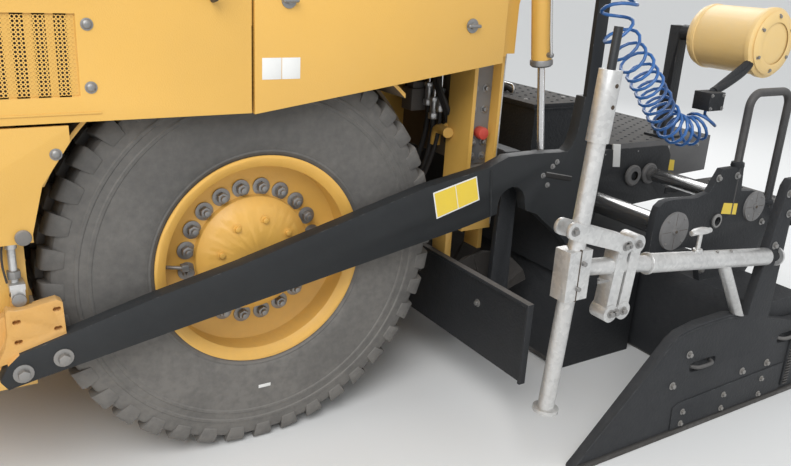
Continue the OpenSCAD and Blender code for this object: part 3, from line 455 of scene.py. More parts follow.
def outline_of(points, closed=True):
    """A flat loop in x and y, laid out from a ring of points; it is left in edit mode."""
    bpy.ops.object.select_all(action="DESELECT")
    bpy.ops.mesh.primitive_circle_add(vertices=len(points), fill_type="NGON" if closed else "NOTHING")
    piece = bpy.context.object
    for v, (x, y) in zip(piece.data.vertices, points):
        v.co = (x, y, 0)
    if not closed:
        bpy.ops.object.mode_set(mode="EDIT")
        bpy.ops.mesh.select_all(action="DESELECT")
        bpy.ops.object.mode_set(mode="OBJECT")
        last = len(points) - 1
        for e in piece.data.edges:
            e.select = set(e.vertices) == {0, last}
        bpy.ops.object.mode_set(mode="EDIT")
        bpy.ops.mesh.select_mode(type="EDGE")
        bpy.ops.mesh.delete(type="EDGE_FACE")
        bpy.ops.mesh.select_mode(type="VERT")
    else:
        bpy.ops.object.mode_set(mode="EDIT")
    bpy.ops.mesh.select_all(action="SELECT")
    return piece


def drawn_up(points, depth):
    """A solid drawn up along Z from a flat outline."""
    piece = outline_of(points)
    bpy.ops.mesh.extrude_region_move(TRANSFORM_OT_translate={"value": (0, 0, depth)})
    bpy.ops.mesh.select_all(action="SELECT")
    bpy.ops.mesh.normals_make_consistent(inside=False)
    bpy.ops.object.mode_set(mode="OBJECT")
    return piece


def plate(name, points, y0, y1, material, width=0.003, segments=2):
    """A plate cut to an outline of x and z, standing from y0 to y1, all in metres."""
    piece = drawn_up(points, y1 - y0)
    piece.data.transform(Matrix(((1, 0, 0, 0), (0, 0, 1, y0), (0, 1, 0, 0), (0, 0, 0, 1))))
    piece.data.flip_normals()
    if width > 0:
        softened(piece, width, segments)
    return done(piece, name, material)


def turning(name, centre, points, material, steps=64, smooth=32, axis=(0, 1, 0)):
    """A piece turned about a line along axis through the centre, from an outline of radius and distance."""
    piece = outline_of(points, closed=False)
    bpy.ops.mesh.spin(steps=steps, angle=2 * math.pi, center=(0, 0, 0), axis=(0, 1, 0))
    bpy.ops.mesh.select_all(action="SELECT")
    bpy.ops.mesh.remove_doubles(threshold=0.00001)
    bpy.ops.mesh.normals_make_consistent(inside=False)
    bpy.ops.object.mode_set(mode="OBJECT")
    turn = Vector((0, 1, 0)).rotation_difference(Vector(axis)).to_matrix().to_4x4()
    piece.data.transform(Matrix.Translation(Vector(centre)) @ turn)
    return done(piece, name, material, smooth)


def copied(piece, name, *moves):
    """Copies of a piece, each with its own mesh, moved by the given matrices and joined into one."""
    made = []
    for move in moves:
        other = piece.copy()
        other.data = piece.data.copy()
        other.data.transform(move)
        if move.to_3x3().determinant() < 0:
            other.data.flip_normals()
        bpy.context.scene.collection.objects.link(other)
        made.append(other)
    return joined(name, made)


def joined(name, pieces):
    bpy.ops.object.select_all(action="DESELECT")
    for piece in pieces:
        piece.select_set(True)
    bpy.context.view_layer.objects.active = pieces[0]
    if len(pieces) > 1:
        bpy.ops.object.join()
    pieces[0].name = name
    return pieces[0]


def held(piece, body):
    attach(piece, body)
    return piece


mirror_y = Matrix.Diagonal((1, -1, 1, 1))


def both_sides(piece, bodies):
    """Adds the right side's twin of a left piece, and gives each its body."""
    twin = copied(piece, piece.name + "_right", mirror_y)
    piece.name += "_left"
    if isinstance(bodies, str):
        bodies = (bodies, bodies)
    held(piece, bodies[0])
    held(twin, bodies[1])
    return piece, twin


def facing_to(place, direction):
    """The matrix that stands a piece made along Z at a place, pointing in a direction."""
    return Matrix.Translation(Vector(place)) @ Vector(direction).to_track_quat("Z", "Y").to_matrix().to_4x4()


def bolted(kind, name, places, way, scale=1.0):
    """Copies of a bolt on places given in millimetres, with all heads pointing one way."""
    return copied(kind, name, *[facing_to(at(*p), way) @ Matrix.Scale(scale, 4) for p in places])


def ringed(kind, name, centre, radius, count, way, first=0.5, scale=1.0):
    """Copies of a bolt spaced evenly round a centre, in a plane of x and z; first counts in steps."""
    turns = [2 * math.pi * (k + first) / count for k in range(count)]
    return copied(kind, name, *[facing_to(centre + Vector((radius * math.cos(a), 0, radius * math.sin(a))), way)
                                @ Matrix.Scale(scale, 4) for a in turns])


def profile(*points):
    """The outline of a plate, in metres, from points given in millimetres."""
    return [(at(x, 0, 0).x, z / 1000) for x, z in points]


to_left, to_front, to_rear, upward = (0, 1, 0), (1, 0, 0), (-1, 0, 0), (0, 0, 1)


bolt_steel = coating("bolt_steel", (0.30, 0.30, 0.30), 0.42, metal=0.8, edge=0.0, dust=0.25, low=0.9, mottle=0.1)
black_paint = coating("black_paint", (0.016, 0.018, 0.021), 0.46, edge=0.16, bare=(0.20, 0.20, 0.21), bare_metal=0.3,
                      dust=0.09, dust_colour=(0.095, 0.095, 0.095), low=1.0, mottle=0.12, coat=0.0)
# A dark brown for dark seams and splits, and for painted shade: the shadow behind the grille and under the hood's
# slots, the dark in holes and inside the exhaust's mouth.
joint_and_shade_brown = coating("dark_joints_and_painted_shade", (0.055, 0.036, 0.022), 0.8, edge=0.0, dust=0.1)


def hex_bolt(across):
    """A hexagon bolt head on its washer, standing along Z on the plane z = 0."""
    bpy.ops.mesh.primitive_cylinder_add(vertices=6, radius=across / 2 / math.cos(math.pi / 6), depth=across * 0.62,
                                        location=(0, 0, across * 0.43))
    head = bpy.context.object
    softened(head, across * 0.06, 2, 20)
    head = done(head, "head", bolt_steel, 30)
    ring = rod("washer", (0, 0, 0), (0, 0, across * 0.13), across * 0.92, bolt_steel, across * 0.03, 20)
    return joined("bolt", [head, ring])


def dome_bolt(across):
    """A button head with a socket, standing along Z."""
    bpy.ops.mesh.primitive_uv_sphere_add(segments=20, ring_count=12, radius=across / 2)
    head = bpy.context.object
    head.scale = (1, 1, 0.62)
    alone(head)
    bpy.ops.object.transform_apply(location=True, rotation=True, scale=True)
    bpy.ops.object.mode_set(mode="EDIT")
    bpy.ops.mesh.select_all(action="SELECT")
    bpy.ops.mesh.bisect(plane_co=(0, 0, 0.0), plane_no=(0, 0, 1), clear_inner=True, use_fill=True)
    bpy.ops.object.mode_set(mode="OBJECT")
    head = done(head, "dome", bolt_steel, 40)
    ring = rod("washer", (0, 0, 0), (0, 0, across * 0.08), across * 0.62, bolt_steel, 0.0005, 20)
    return joined("dome_bolt", [head, ring])


big_bolt = hex_bolt(0.030)
small_bolt = hex_bolt(0.017)
button = dome_bolt(0.026)


# Grille: a sheet punched with staggered round holes behind a cut-out with round corners, and the
# button heads beside it. A dark brown sheet just behind it is painted shade, the shadow that shows
# through the holes.
hole_pitch = 0.0105
grille_low, grille_high = at(542, 0, 1250), at(1238, 0, 1453)


def punched_cell():
    """Half a pitch of the punched sheet: a square with a round hole in its middle and corners."""
    bpy.ops.mesh.primitive_circle_add(vertices=12, radius=hole_pitch * 0.33, fill_type="NOTHING")
    cell = bpy.context.object
    bpy.ops.object.mode_set(mode="EDIT")
    bpy.ops.mesh.select_all(action="SELECT")
    bpy.ops.mesh.extrude_edges_move(TRANSFORM_OT_translate={"value": (0, 0, 0)})
    bpy.ops.object.mode_set(mode="OBJECT")
    ring = [v for v in cell.data.vertices if v.select]
    for v in ring:
        reach = max(abs(v.co.x), abs(v.co.y))
        v.co = v.co * (hole_pitch / 2 / reach)
    cell.data.update()
    return cell


cell = punched_cell()
across = int((grille_high.x - grille_low.x) / hole_pitch)
rows = int((grille_high.z - grille_low.z) / hole_pitch)
for count, offset in ((across, (hole_pitch, 0, 0)), (rows, (0, hole_pitch, 0))):
    alone(cell)
    array = cell.modifiers.new("punched", "ARRAY")
    array.count = count
    array.use_relative_offset = False
    array.use_constant_offset = True
    array.constant_offset_displace = offset
    array.use_merge_vertices = True
    array.merge_threshold = 0.0001
    bpy.ops.object.modifier_apply(modifier="punched")
stretch_x = (grille_high.x - grille_low.x) / (across * hole_pitch)
stretch_z = (grille_high.z - grille_low.z) / (rows * hole_pitch)
centred = Matrix.Translation((hole_pitch / 2, hole_pitch / 2, 0))
cell.data.transform(Matrix.Diagonal((stretch_x, stretch_z, 1, 1)) @ centred)
cell.data.transform(Matrix(((1, 0, 0, grille_low.x), (0, 0, 1, 1.2445), (0, 1, 0, grille_low.z), (0, 0, 0, 1))))
cell.data.flip_normals()
both_sides(done(cell, "grille", yellow_paint), "machine")
# The dark sheet behind the grille is painted shade.
both_sides(block("grille_shadow", (grille_low.x, 1.226, grille_low.z), (grille_high.x, 1.229, grille_high.z),
                 joint_and_shade_brown, 0.0), "machine")


# Fittings of the side panels: button heads, the wing-shaped quarter turns that lock the service
# door, and a white plate with two blank fields.
def quarter_turn():
    """A lock with a wing-shaped knob on a round rose, standing along Z."""
    rose = rod("rose", (0, 0, 0), (0, 0, 0.004), 0.024, bolt_steel, 0.001, 28)
    neck = rod("neck", (0, 0, 0.003), (0, 0, 0.014), 0.011, bolt_steel, 0.002, 20)
    wing = block("wing", (-0.026, -0.006, 0.010), (0.026, 0.006, 0.021), bolt_steel, 0.0045, 3)
    return joined("quarter_turn", [rose, neck, wing])


white_plate = coating("white_plate", (0.80, 0.80, 0.78), 0.35, edge=0.0, dust=0.12, mottle=0.02)
yellow_plate = coating("yellow_plate", (0.86, 0.62, 0.045), 0.38, edge=0.0, dust=0.10, mottle=0.03)
panel_y = 1250
doors = ("door_left", "door_right")
lock = quarter_turn()
both_sides(bolted(lock, "door_locks", ((-721, panel_y, 1436), (-49, panel_y, 1504)), to_left), doors)
bpy.data.objects.remove(lock)
heads = bolted(button, "panel_heads", [(x, panel_y, z) for x, z in (
    (513, 1431), (513, 1270), (1270, 1431), (1270, 1270), (110, 1590), (760, 1590), (1400, 1590), (613, 1098),
    (1400, 1130), (1010, 1130), (1010, 660), (1400, 700))], to_left)
both_sides(heads, "machine")
fields = [block("field", at(x0, panel_y, 1277), at(x1, panel_y + 1, 1340), white_plate, 0.0004)
          for x0, x1 in ((-27, 34), (-88, -29))]
both_sides(joined("blank_plate", fields), doors)
crease = block("panel_crease", at(490, panel_y - 0.5, 1200), at(1470, panel_y + 2.5, 1205), yellow_paint, 0.001)
both_sides(crease, "machine")
rubber_stop = coating("rubber_stop", (0.13, 0.125, 0.12), 0.75, edge=0.0, dust=0.4)
both_sides(rod("panel_stop", at(712, 1236, 880), at(712, 1262, 880), 0.021, rubber_stop, 0.004), "machine")


# Rear tyres: a radial carcass with two raised rings high on its wall, and cut tread blocks whose
# ends run down over the shoulder. Moulded rubber, grey with dust and paler where it flexes.
def tyre_rubber():
    made, tree, shade, where = surface("tyre_rubber")
    base = blended(tree, noise(tree, where, 3.5, 5.0, 0.6), (0.030, 0.030, 0.031), (0.062, 0.061, 0.060))
    film = placed(tree, road_dust, where, Amount=0.55, Low=1.9, Scale=3.2)
    base = blended(tree, film, base, (0.165, 0.155, 0.142))
    worn = placed(tree, edge_wear, where, Width=0.006, Amount=0.45, Scale=40.0)
    wire(tree, blended(tree, times(tree, worn, 0.5), base, (0.15, 0.145, 0.14)), shade.inputs["Base Color"])
    shade.inputs["Roughness"].default_value = 0.78
    embossed(tree, shade, noise(tree, where, 120.0, 4.0), 0.35, 0.002)
    return made


rubber = tyre_rubber()
wheel = at(0, 995, 675)
wall = [(330.2, 170), (355.4, 177.5), (361, 181.5), (368, 187.5), (374, 187), (380, 190), (410, 193.2), (455, 194.8),
        (500, 194.4), (536, 192.6), (540, 194.8), (548, 194.8), (552, 191.6), (572, 189), (576, 191.4), (584, 190.8),
        (588, 187), (606, 183.5), (630, 177.5), (644, 170), (650, 156), (651.5, 120), (652, 60)]
hoop = [(r / 1000, h / 1000) for r, h in wall] + [(r / 1000, -h / 1000) for r, h in reversed(wall)]
tyre = turning("tyre_carcass", wheel, hoop, rubber, 144, 24)
pitches = 40


def shoulder_block():
    """One tread block of the outer shoulder, at the top of the wheel, running down the wall."""
    shape = [(184.5, 612), (181.5, 640), (177, 660), (168, 671), (150, 674), (104, 675), (98, 648), (150, 645),
             (176, 606)]
    piece = drawn_up([(y / 1000, z / 1000) for y, z in shape], 0.066)
    piece.data.transform(Matrix(((0, 0, 1, -0.033), (1, 0, 0, 0), (0, 1, 0, 0), (0, 0, 0, 1))))
    for v in piece.data.vertices:
        v.co.x *= 1.0 - 0.30 * max(0.0, (0.645 - v.co.z) / 0.04)
        v.co.x += 0.012 * (0.175 - v.co.y) / 0.07 * (1 if v.co.z > 0.64 else 0)
    softened(piece, 0.004, 2, 30)
    return done(piece, "shoulder_block", rubber, 30)


def centre_block():
    """One block of the tread's middle, set at a slant."""
    piece = drawn_up([(-0.030, 0.008), (0.026, 0.008), (0.036, 0.088), (-0.022, 0.088)], 0.026)
    piece.data.transform(Matrix.Translation((0, 0, 0.649)))
    softened(piece, 0.003, 2, 30)
    return done(piece, "centre_block", rubber, 30)


shoulder, middle = shoulder_block(), centre_block()
to_wheel = Matrix.Translation(wheel)
rings = []
for k in range(pitches):
    turn = Matrix.Rotation(2 * math.pi * k / pitches, 4, "Y")
    half = Matrix.Rotation(2 * math.pi * (k + 0.5) / pitches, 4, "Y")
    rings += [(shoulder, turn), (shoulder, half @ mirror_y), (middle, half), (middle, turn @ mirror_y)]
blocks = [copied(kind, "tread", *[to_wheel @ m for which, m in rings if which is kind]) for kind in (shoulder, middle)]
tyre = joined("rear_tyre", [tyre] + blocks)
for piece in (shoulder, middle):
    bpy.data.objects.remove(piece)
rear_wheels = ("rear_wheel_left", "rear_wheel_right")
tyre_left, tyre_right = both_sides(tyre, rear_wheels)
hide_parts("rear_tyre_left")
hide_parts("rear_tyre_right")


# Rear rims: a welded dish in yellow paint with twenty wheel nuts on their studs round the hub, a
# bolted hub cover and the valve with its clamp.
rim_paint = coating("rim_paint", (0.80, 0.45, 0.085), 0.42, edge=0.16, bare=(0.66, 0.54, 0.36), bare_metal=0.0,
                    dust=0.14, dust_colour=(0.42, 0.27, 0.13), low=1.3, mottle=0.06, coat=0.08)
for node in ("rear_rim_left", "rear_rim_right"):
    eased(node, 0.002, rim_paint)


def by_wheel(x, y, z):
    """A place in metres from the left wheel's centre."""
    return wheel + Vector((x, y, z))


nut = joined("wheel_nut", [hex_bolt(0.033), rod("stud", (0, 0, 0.01), (0, 0, 0.036), 0.010, bolt_steel, 0.0015, 16)])
nuts = joined("wheel_nuts", [
    ringed(nut, "wheel_nuts", by_wheel(0, 0.0785, 0), 0.226, 20, to_left),
    rod("valve", by_wheel(0.318, 0.085, -0.005), by_wheel(0.235, 0.115, -0.012), 0.006, bolt_steel, 0.001, 12),
    block("valve_clamp", by_wheel(0.225, 0.095, -0.024), by_wheel(0.250, 0.120, 0.0), bolt_steel, 0.004)])
bpy.data.objects.remove(nut)
both_sides(nuts, rear_wheels)
hub_bolt = ringed(small_bolt, "hub_bolts", by_wheel(0, 0.138, 0), 0.128, 8, to_left, 0.25)
hub_bolt.data.materials[0] = rim_paint
both_sides(hub_bolt, rear_wheels)
both_sides(block("tyre_patch", by_wheel(-0.022, 0.1935, -0.462), by_wheel(0.022, 0.1955, -0.450), white_plate, 0.0004),
           rear_wheels)


# Tow arms: thick plate cut to shape and welded, black paint rubbed to bare steel along the edges.
# Each nose is bolted to a yellow casting; a small yellow plate with two blank fields sits on the side.
def tube(name, points, radius, material, spacing=0.018):
    """A pipe bent smoothly through the given points, with closed ends."""
    points = [Vector(p) for p in points]
    long = sum((b - a).length for a, b in zip(points, points[1:]))
    line = along(points, max(6, int(long / spacing)))[0]
    bpy.ops.curve.primitive_bezier_curve_add(location=(0, 0, 0))
    piece = bpy.context.object
    piece.data.splines.clear()
    run = piece.data.splines.new("POLY")
    run.points.add(len(line) - 1)
    for point, p in zip(run.points, line):
        point.co = (p.x, p.y, p.z, 1)
    piece.data.bevel_depth = radius
    piece.data.bevel_resolution = 3
    piece.data.use_fill_caps = True
    alone(piece)
    bpy.ops.object.convert(target="MESH")
    return done(bpy.context.object, name, material, 50)


def second_finish(piece, material, chosen):
    """Gives a second finish to the faces that a test picks by their middle, in millimetres, and direction."""
    piece.data.materials.append(material)
    for face in piece.data.polygons:
        c, way = face.center, face.normal
        turned = Vector((way.x, way.y if c.y >= 0 else -way.y, way.z))
        if chosen(c.x * 1000 + 590, abs(c.y) * 1000, c.z * 1000, turned):
            face.material_index = len(piece.data.materials) - 1


def in_casting(x, y, z, normal):
    if x < 620 or y > 1262.6 or z > 700:
        return False
    edge = 552 + (754 - x) * 0.268 if x < 754 else 552 - (x - 754) * 0.9
    return y < 1225.5 or z > edge - 12


cast_yellow = coating("yellow_casting", (0.66, 0.345, 0.075), 0.55, edge=0.35, bare=(0.66, 0.54, 0.38), bare_metal=0.0,
                      dust=0.2, dust_colour=(0.50, 0.37, 0.22), low=0.9, mottle=0.10, grain=70.0, depth=0.0004)
arm_paint = coating("black_arm_paint", (0.014, 0.016, 0.018), 0.50, edge=0.42, bare=(0.30, 0.29, 0.29), bare_metal=0.35,
                    dust=0.08, dust_colour=(0.10, 0.10, 0.10), low=1.0, mottle=0.16)
arms = eased("tow_arms", 0.003, arm_paint)
second_finish(arms, cast_yellow, in_casting)
arm_y = 1275
both_sides(bolted(big_bolt, "arm_bolts", ((749, arm_y, 494), (643, arm_y, 519)), to_left), "screed")
quad = [(-592, 872), (-779, 915), (-802, 823), (-616, 773)]


def field_between(name, first, last, material, inset, y0, y1):
    """A part of the slanted plate between two fractions of its length, held in from its border."""
    corners = []
    for along_it, across_it in ((first, 0.0), (last, 0.0), (last, 1.0), (first, 1.0)):
        low = [quad[3][k] + (quad[2][k] - quad[3][k]) * along_it for k in (0, 1)]
        high = [quad[0][k] + (quad[1][k] - quad[0][k]) * along_it for k in (0, 1)]
        share = inset + (1 - 2 * inset) * across_it
        corners.append((at(low[0] + (high[0] - low[0]) * share, 0, 0).x,
                        (low[1] + (high[1] - low[1]) * share) / 1000))
    return plate(name, corners, y0, y1, material, 0.0003, 1)


arm_fields = [field_between("plate_back", 0.0, 1.0, white_plate, 0.0, 1.2748, 1.2758),
              field_between("plate_field", 0.025, 0.492, yellow_plate, 0.05, 1.2755, 1.2764),
              field_between("plate_field", 0.508, 0.975, yellow_plate, 0.05, 1.2755, 1.2764)]
both_sides(joined("arm_plate", arm_fields), "screed")
seam = tube("arm_weld", [at(-843, arm_y, 932), at(-848, arm_y + 0.5, 880), at(-856, arm_y + 0.5, 820),
                         at(-863, arm_y, 757)], 0.0045, arm_paint)
both_sides(seam, "screed")
# The grip's slot is a near-black block: painted shade in the recess.
recess_shade_black = coating("recess_shade_black", (0.006, 0.006, 0.007), 0.6, edge=0.0, dust=0.05)
grip = [block("grip", at(-1252, arm_y - 1, 866), at(-1108, arm_y + 4, 884), recess_shade_black, 0.004, 3),
        # A thin steel strip along the slot's top edge is a painted highlight.
        block("grip_painted_highlight", at(-1250, arm_y - 0.5, 883), at(-1112, arm_y + 4.6, 886.5), bolt_steel, 0.001, 2)]
grip_at = at(-1180, 0, 875)
grip_slant = Matrix.Translation(grip_at) @ Matrix.Rotation(math.radians(-12.5), 4, "Y") @ Matrix.Translation(-grip_at)
for piece in grip:
    piece.data.transform(grip_slant)
screws = bolted(small_bolt, "screws", [(x, arm_y, z) for x, z in (
    (-1144, 919), (-1164, 935), (-1128, 847), (-1100, 887))], to_left, 0.7)
both_sides(joined("arm_grip", grip + [screws]), "screed")
clevis = [block("ear", at(-1172, 1168, 862), at(-1118, 1182, 962), arm_paint, 0.006),
          block("foot", at(-1172, 1168, 862), at(-1118, 1228, 878), arm_paint, 0.003),
          rod("pin", at(-1145, 1162, 935), at(-1145, 1226, 935), 0.013, bolt_steel, 0.002, 24)]
both_sides(joined("lift_clevis", clevis), "screed")


# Levelling cylinders: a yellow bracket with guides on the frame, the plated rod in its gland, a locknut
# and the clevis on the arm's casting, and a thin cable beside them.
bright_rod = coating("bright_rod", (0.66, 0.66, 0.66), 0.20, metal=0.95, edge=0.0, dust=0.12, low=0.7, mottle=0.05,
                     grain=400.0, depth=0.00005)


def spangled():
    """Zinc coat: crystals that take the light differently, dulled in patches."""
    made, tree, shade, where = surface("galvanised")
    cells = node_of(tree, "ShaderNodeTexVoronoi")
    cells.inputs["Scale"].default_value = 95.0
    wire(tree, where, cells.inputs["Vector"])
    split = node_of(tree, "ShaderNodeSeparateColor")
    wire(tree, cells.outputs["Color"], split.inputs[0])
    patches = noise(tree, where, 9.0, 5.0, 0.6)
    tone = plus(tree, times(tree, split.outputs[0], 0.28), times(tree, patches, 0.75), True)
    base = blended(tree, tone, (0.42, 0.425, 0.43), (0.80, 0.80, 0.79))
    film = placed(tree, road_dust, where, Amount=0.22, Low=0.75, Scale=4.0)
    base = blended(tree, film, base, (0.30, 0.275, 0.24))
    worn = placed(tree, edge_wear, where, Width=0.004, Amount=0.4, Scale=26.0)
    wire(tree, blended(tree, times(tree, worn, 0.6), base, (0.88, 0.88, 0.88)), shade.inputs["Base Color"])
    shade.inputs["Metallic"].default_value = 0.72
    rough = plus(tree, times(tree, split.outputs[1], 0.10), plus(tree, times(tree, film, 0.3), 0.30), True)
    wire(tree, rough, shade.inputs["Roughness"])
    embossed(tree, shade, noise(tree, where, 60.0, 3.0), 0.25, 0.001)
    return made


galvanised = spangled()
eased("levelling_rods", 0.0015, galvanised)
hose_rubber = coating("rubber_hose", (0.022, 0.022, 0.023), 0.55, edge=0.0, dust=0.35, dust_colour=(0.14, 0.125, 0.11),
                      low=1.0)
tow_x, tow_y = 740, 1205
gland = [rod("gland", at(tow_x, tow_y, 884), at(tow_x, tow_y, 904), 0.024, bolt_steel, 0.003, 32),
         rod("cap", at(tow_x, tow_y, 1158), at(tow_x, tow_y, 1168), 0.030, cast_yellow, 0.003, 32)]
for z in (928, 1132):
    gland.append(rod("port", at(tow_x, tow_y, z), at(tow_x, 1246, z), 0.010, bolt_steel, 0.002, 12))
gland.append(tube("hose", [at(tow_x + x, y, z) for x, y, z in (
    (0, 1240, 928), (-12, 1240, 958), (-30, 1228, 1010), (-34, 1212, 1080), (-20, tow_y, 1150), (10, 1150, 1210))],
                  0.0085, hose_rubber))
both_sides(joined("levelling_gland", gland), "machine")
rod_fittings = [
    rod("locknut", at(tow_x, tow_y, 752), at(tow_x, tow_y, 774), 0.0195, bolt_steel, 0.002, 6),
    rod("lock_ring", at(tow_x, tow_y, 838), at(tow_x, tow_y, 862), 0.0155, galvanised, 0.002, 28),
    rod("pin_head", at(736, 1231, 696), at(736, 1240, 696), 0.019, bolt_steel, 0.002, 24),
    tube("cable", [at(tow_x + x, y, z) for x, y, z in (
        (14, 1222, 884), (24, 1224, 850), (27, 1224, 800), (20, 1218, 745))], 0.003, hose_rubber)]
both_sides(joined("levelling_fittings", rod_fittings), body_of["levelling_rods"])


# Lift cylinders: yellow barrels hung from the column, with a steel gland nut and a pipe down the
# side; the plated rods end in eyes on the arms.
eased("lift_barrels", 0.003, yellow_paint)
eased("lift_rods", 0.001, bright_rod)
lift_top, lift_low = at(-1020, 1200, 1850), at(-1145, 1200, 935)
lift_way = (lift_low - lift_top).normalized()
beside = Vector((-lift_way.z, 0, lift_way.x))


def on_lift(d, out_by=0.0, aside=0.0):
    return lift_top + lift_way * d / 1000 + Vector((0, out_by / 1000, 0)) + beside * aside / 1000


fittings = [turning("gland_nut", on_lift(540), [(0.0150, 0.0), (0.041, 0.0), (0.0425, 0.004), (0.0425, 0.020),
                                                (0.036, 0.026), (0.0150, 0.026)], bolt_steel, 40, 30, lift_way),
            rod("port", on_lift(520, 30), on_lift(520, 58), 0.010, bolt_steel, 0.002, 12),
            rod("port", on_lift(60, 30), on_lift(60, 58), 0.010, bolt_steel, 0.002, 12),
            tube("pipe", [on_lift(520, 52), on_lift(490, 56, 4), on_lift(440, 56, 6), on_lift(250, 56, 6),
                          on_lift(60, 54, 2)], 0.006, bright_rod),
            block("clip", on_lift(300, 34, -10), on_lift(312, 62, 10), bolt_steel, 0.002)]
both_sides(joined("lift_fittings", fittings), body_of["lift_barrels"])


# Auger and its frame: cast blades of wear-resisting steel on a shaft, dull brown with binder and bright
# at the rims; the box and the shields before it are black plate with a worn upper edge.
worn_cast = coating("worn_cast_steel", (0.105, 0.095, 0.088), 0.5, metal=0.55, edge=0.75, bare=(0.46, 0.44, 0.42),
                    bare_metal=0.5, dust=0.45, dust_colour=(0.060, 0.056, 0.052), low=1.2, mottle=0.3, grain=60.0,
                    depth=0.0005)
grimy_black = coating("black_grimy_paint", (0.014, 0.016, 0.019), 0.58, edge=0.55, bare=(0.26, 0.26, 0.27),
                      bare_metal=0.4, dust=0.16, dust_colour=(0.070, 0.070, 0.072), low=1.1, mottle=0.2, grain=90.0,
                      depth=0.0004)
for node in ("auger_left", "auger_right"):
    dressed(node, worn_cast)
shields = eased("auger_frame", 0.0025, grimy_black)
second_finish(shields, coating("worn_shield_edge", (0.30, 0.29, 0.28), 0.5, metal=0.5, edge=0.0, dust=0.5, low=1.4,
                               dust_colour=(0.16, 0.15, 0.14), mottle=0.25),
              lambda x, y, z, n: 516 < z < 533 and -834 < x < -804 and y > 622)
bolts = [bolted(small_bolt, "shield_bolts", [(-832, y, 470) for y in (760, 1100, 1450)], to_rear),
         bolted(small_bolt, "shield_bolts", [(-820, y, 420) for y in (900, 1300)], to_front)]
both_sides(joined("shield_bolts", bolts), "machine")
shaft = at(-1030, 0, 330)
clamps = [rod("clamp", shaft + Vector((0, 0.176 + k * 0.150, 0)), shaft + Vector((0, 0.221 + k * 0.150, 0)), 0.058,
              worn_cast, 0.004, 32) for k in range(6)]
both_sides(joined("blade_clamps", clamps), ("auger_left", "auger_right"))


# Masts: galvanised tubes and links on each end gate that carry the height sensor: a foot tube with its
# clamp block, two hanging links, and the telescopic arm with its knob.
masts = [eased(node, 0.0018, galvanised) for node in ("mast_left", "mast_right")]
for piece in masts:
    second_finish(piece, black_paint, lambda x, y, z, n: z > 1373 and x > -800)
mast_bits = []
side_y = 1840


def on_arm(x, r, turn):
    """A place on the telescopic arm's skin, at x, with the turn measured from straight up towards the outside."""
    z = 738 + (650 - 738) * (x + 1060) / (-1805 + 1060)
    return at(x, side_y + math.sin(turn) * r, z + math.cos(turn) * r)


arm_way = (at(-1805, 0, 650) - at(-1060, 0, 738)).normalized()
for name, x, long in (("sleeve_ring", -1062, 0.010), ("end_cap", -1800, 0.008)):
    mast_bits.append(turning(name, on_arm(x, 0, 0), [
        (0.020, 0.0), (0.0355, 0.0), (0.037, 0.002), (0.037, long - 0.002), (0.0355, long), (0.020, long)],
                             galvanised, 40, 30, arm_way))
mast_bits += [rod("stud", on_arm(x, 31, 0.35), on_arm(x, 38, 0.35), 0.006, bolt_steel, 0.0015, 16)
              for x in (-1420, -1500)]
mast_bits.append(rod("boss", on_arm(-1322, 28, 0), on_arm(-1322, 44, 0), 0.017, galvanised, 0.003, 24))
knob = turning("knob", at(-1322, side_y, 806), [
    (0.0, 0.022), (0.012, 0.0215), (0.030, 0.018), (0.044, 0.014), (0.050, 0.008), (0.047, 0.004), (0.020, 0.002),
    (0.0, 0.0)], galvanised, 40, 40, upward)
knob_at = at(-1322, side_y, 815)
knob.data.transform(Matrix.Translation(knob_at) @ Matrix.Diagonal((1.0, 0.42, 1.0, 1.0))
                    @ Matrix.Translation(-knob_at))
mast_bits.append(knob)
mast_bits.append(bolted(small_bolt, "link_bolts", [(x, side_y + 32, z) for x, z in (
    (-686, 908), (-928, 830), (-917, 602), (-895, 602), (-952, 602), (-974, 828), (-917, 828))], to_left, 0.95))
mast_bits += [rod("wing_screw", at(-818, 1868, 734), at(-818, 1890, 734), 0.006, bolt_steel, 0.001, 12),
              block("wing", at(-842, 1884, 729), at(-794, 1892, 739), bolt_steel, 0.003),
              rod("clamp_screw", at(-726, 1872, 720), at(-726, 1884, 720), 0.008, bolt_steel, 0.001, 6),
              rod("clamp_screw", at(-738, 1872, 800), at(-738, 1884, 800), 0.008, bolt_steel, 0.001, 6),
              block("clamp_split", at(-728, 1806, 676), at(-724, 1873, 844), joint_and_shade_brown, 0.0)]
# The sleeve's two holes are dark brown discs: painted shade in the holes.
mast_bits += [rod("sleeve_hole", at(x, 1872, z), at(x, 1874.5, z), 0.0065, joint_and_shade_brown, 0.0, 16)
              for x, z in ((-768.5, 1330), (-764.5, 1270))]
both_sides(joined("mast_fittings", mast_bits), (body_of["mast_left"], body_of["mast_right"]))


# Screed: a welded black box on its base plate, with the guide sleeves through its sides, a gripping
# deck behind, paler panels along the deck and a lid over the burners.
def gripping():
    """Black plate with raised studs in rows, rubbed pale on their tops, and dirt between them."""
    made = coating("black_grip_plate", (0.030, 0.031, 0.033), 0.62, edge=0.3, bare=(0.24, 0.24, 0.24), dust=0.45,
                   dust_colour=(0.13, 0.125, 0.12), low=1.6, mottle=0.2)
    tree = made.node_tree
    shade = tree.nodes["Principled BSDF"]
    where = node_of(tree, "ShaderNodeTexCoord").outputs["Object"]
    studs = node_of(tree, "ShaderNodeTexVoronoi", feature="F1")
    studs.inputs["Scale"].default_value = 44.0
    studs.inputs["Randomness"].default_value = 0.12
    wire(tree, where, studs.inputs["Vector"])
    height_of = number(tree, "SUBTRACT", 1.0, times(tree, studs.outputs["Distance"], 2.6), True)
    embossed(tree, shade, height_of, 0.9, 0.004)
    old = shade.inputs["Base Color"].links[0].from_socket
    top = times(tree, number(tree, "SUBTRACT", height_of, 0.45), 1.2, True)
    wire(tree, blended(tree, top, old, (0.12, 0.12, 0.12)), shade.inputs["Base Color"])
    return made


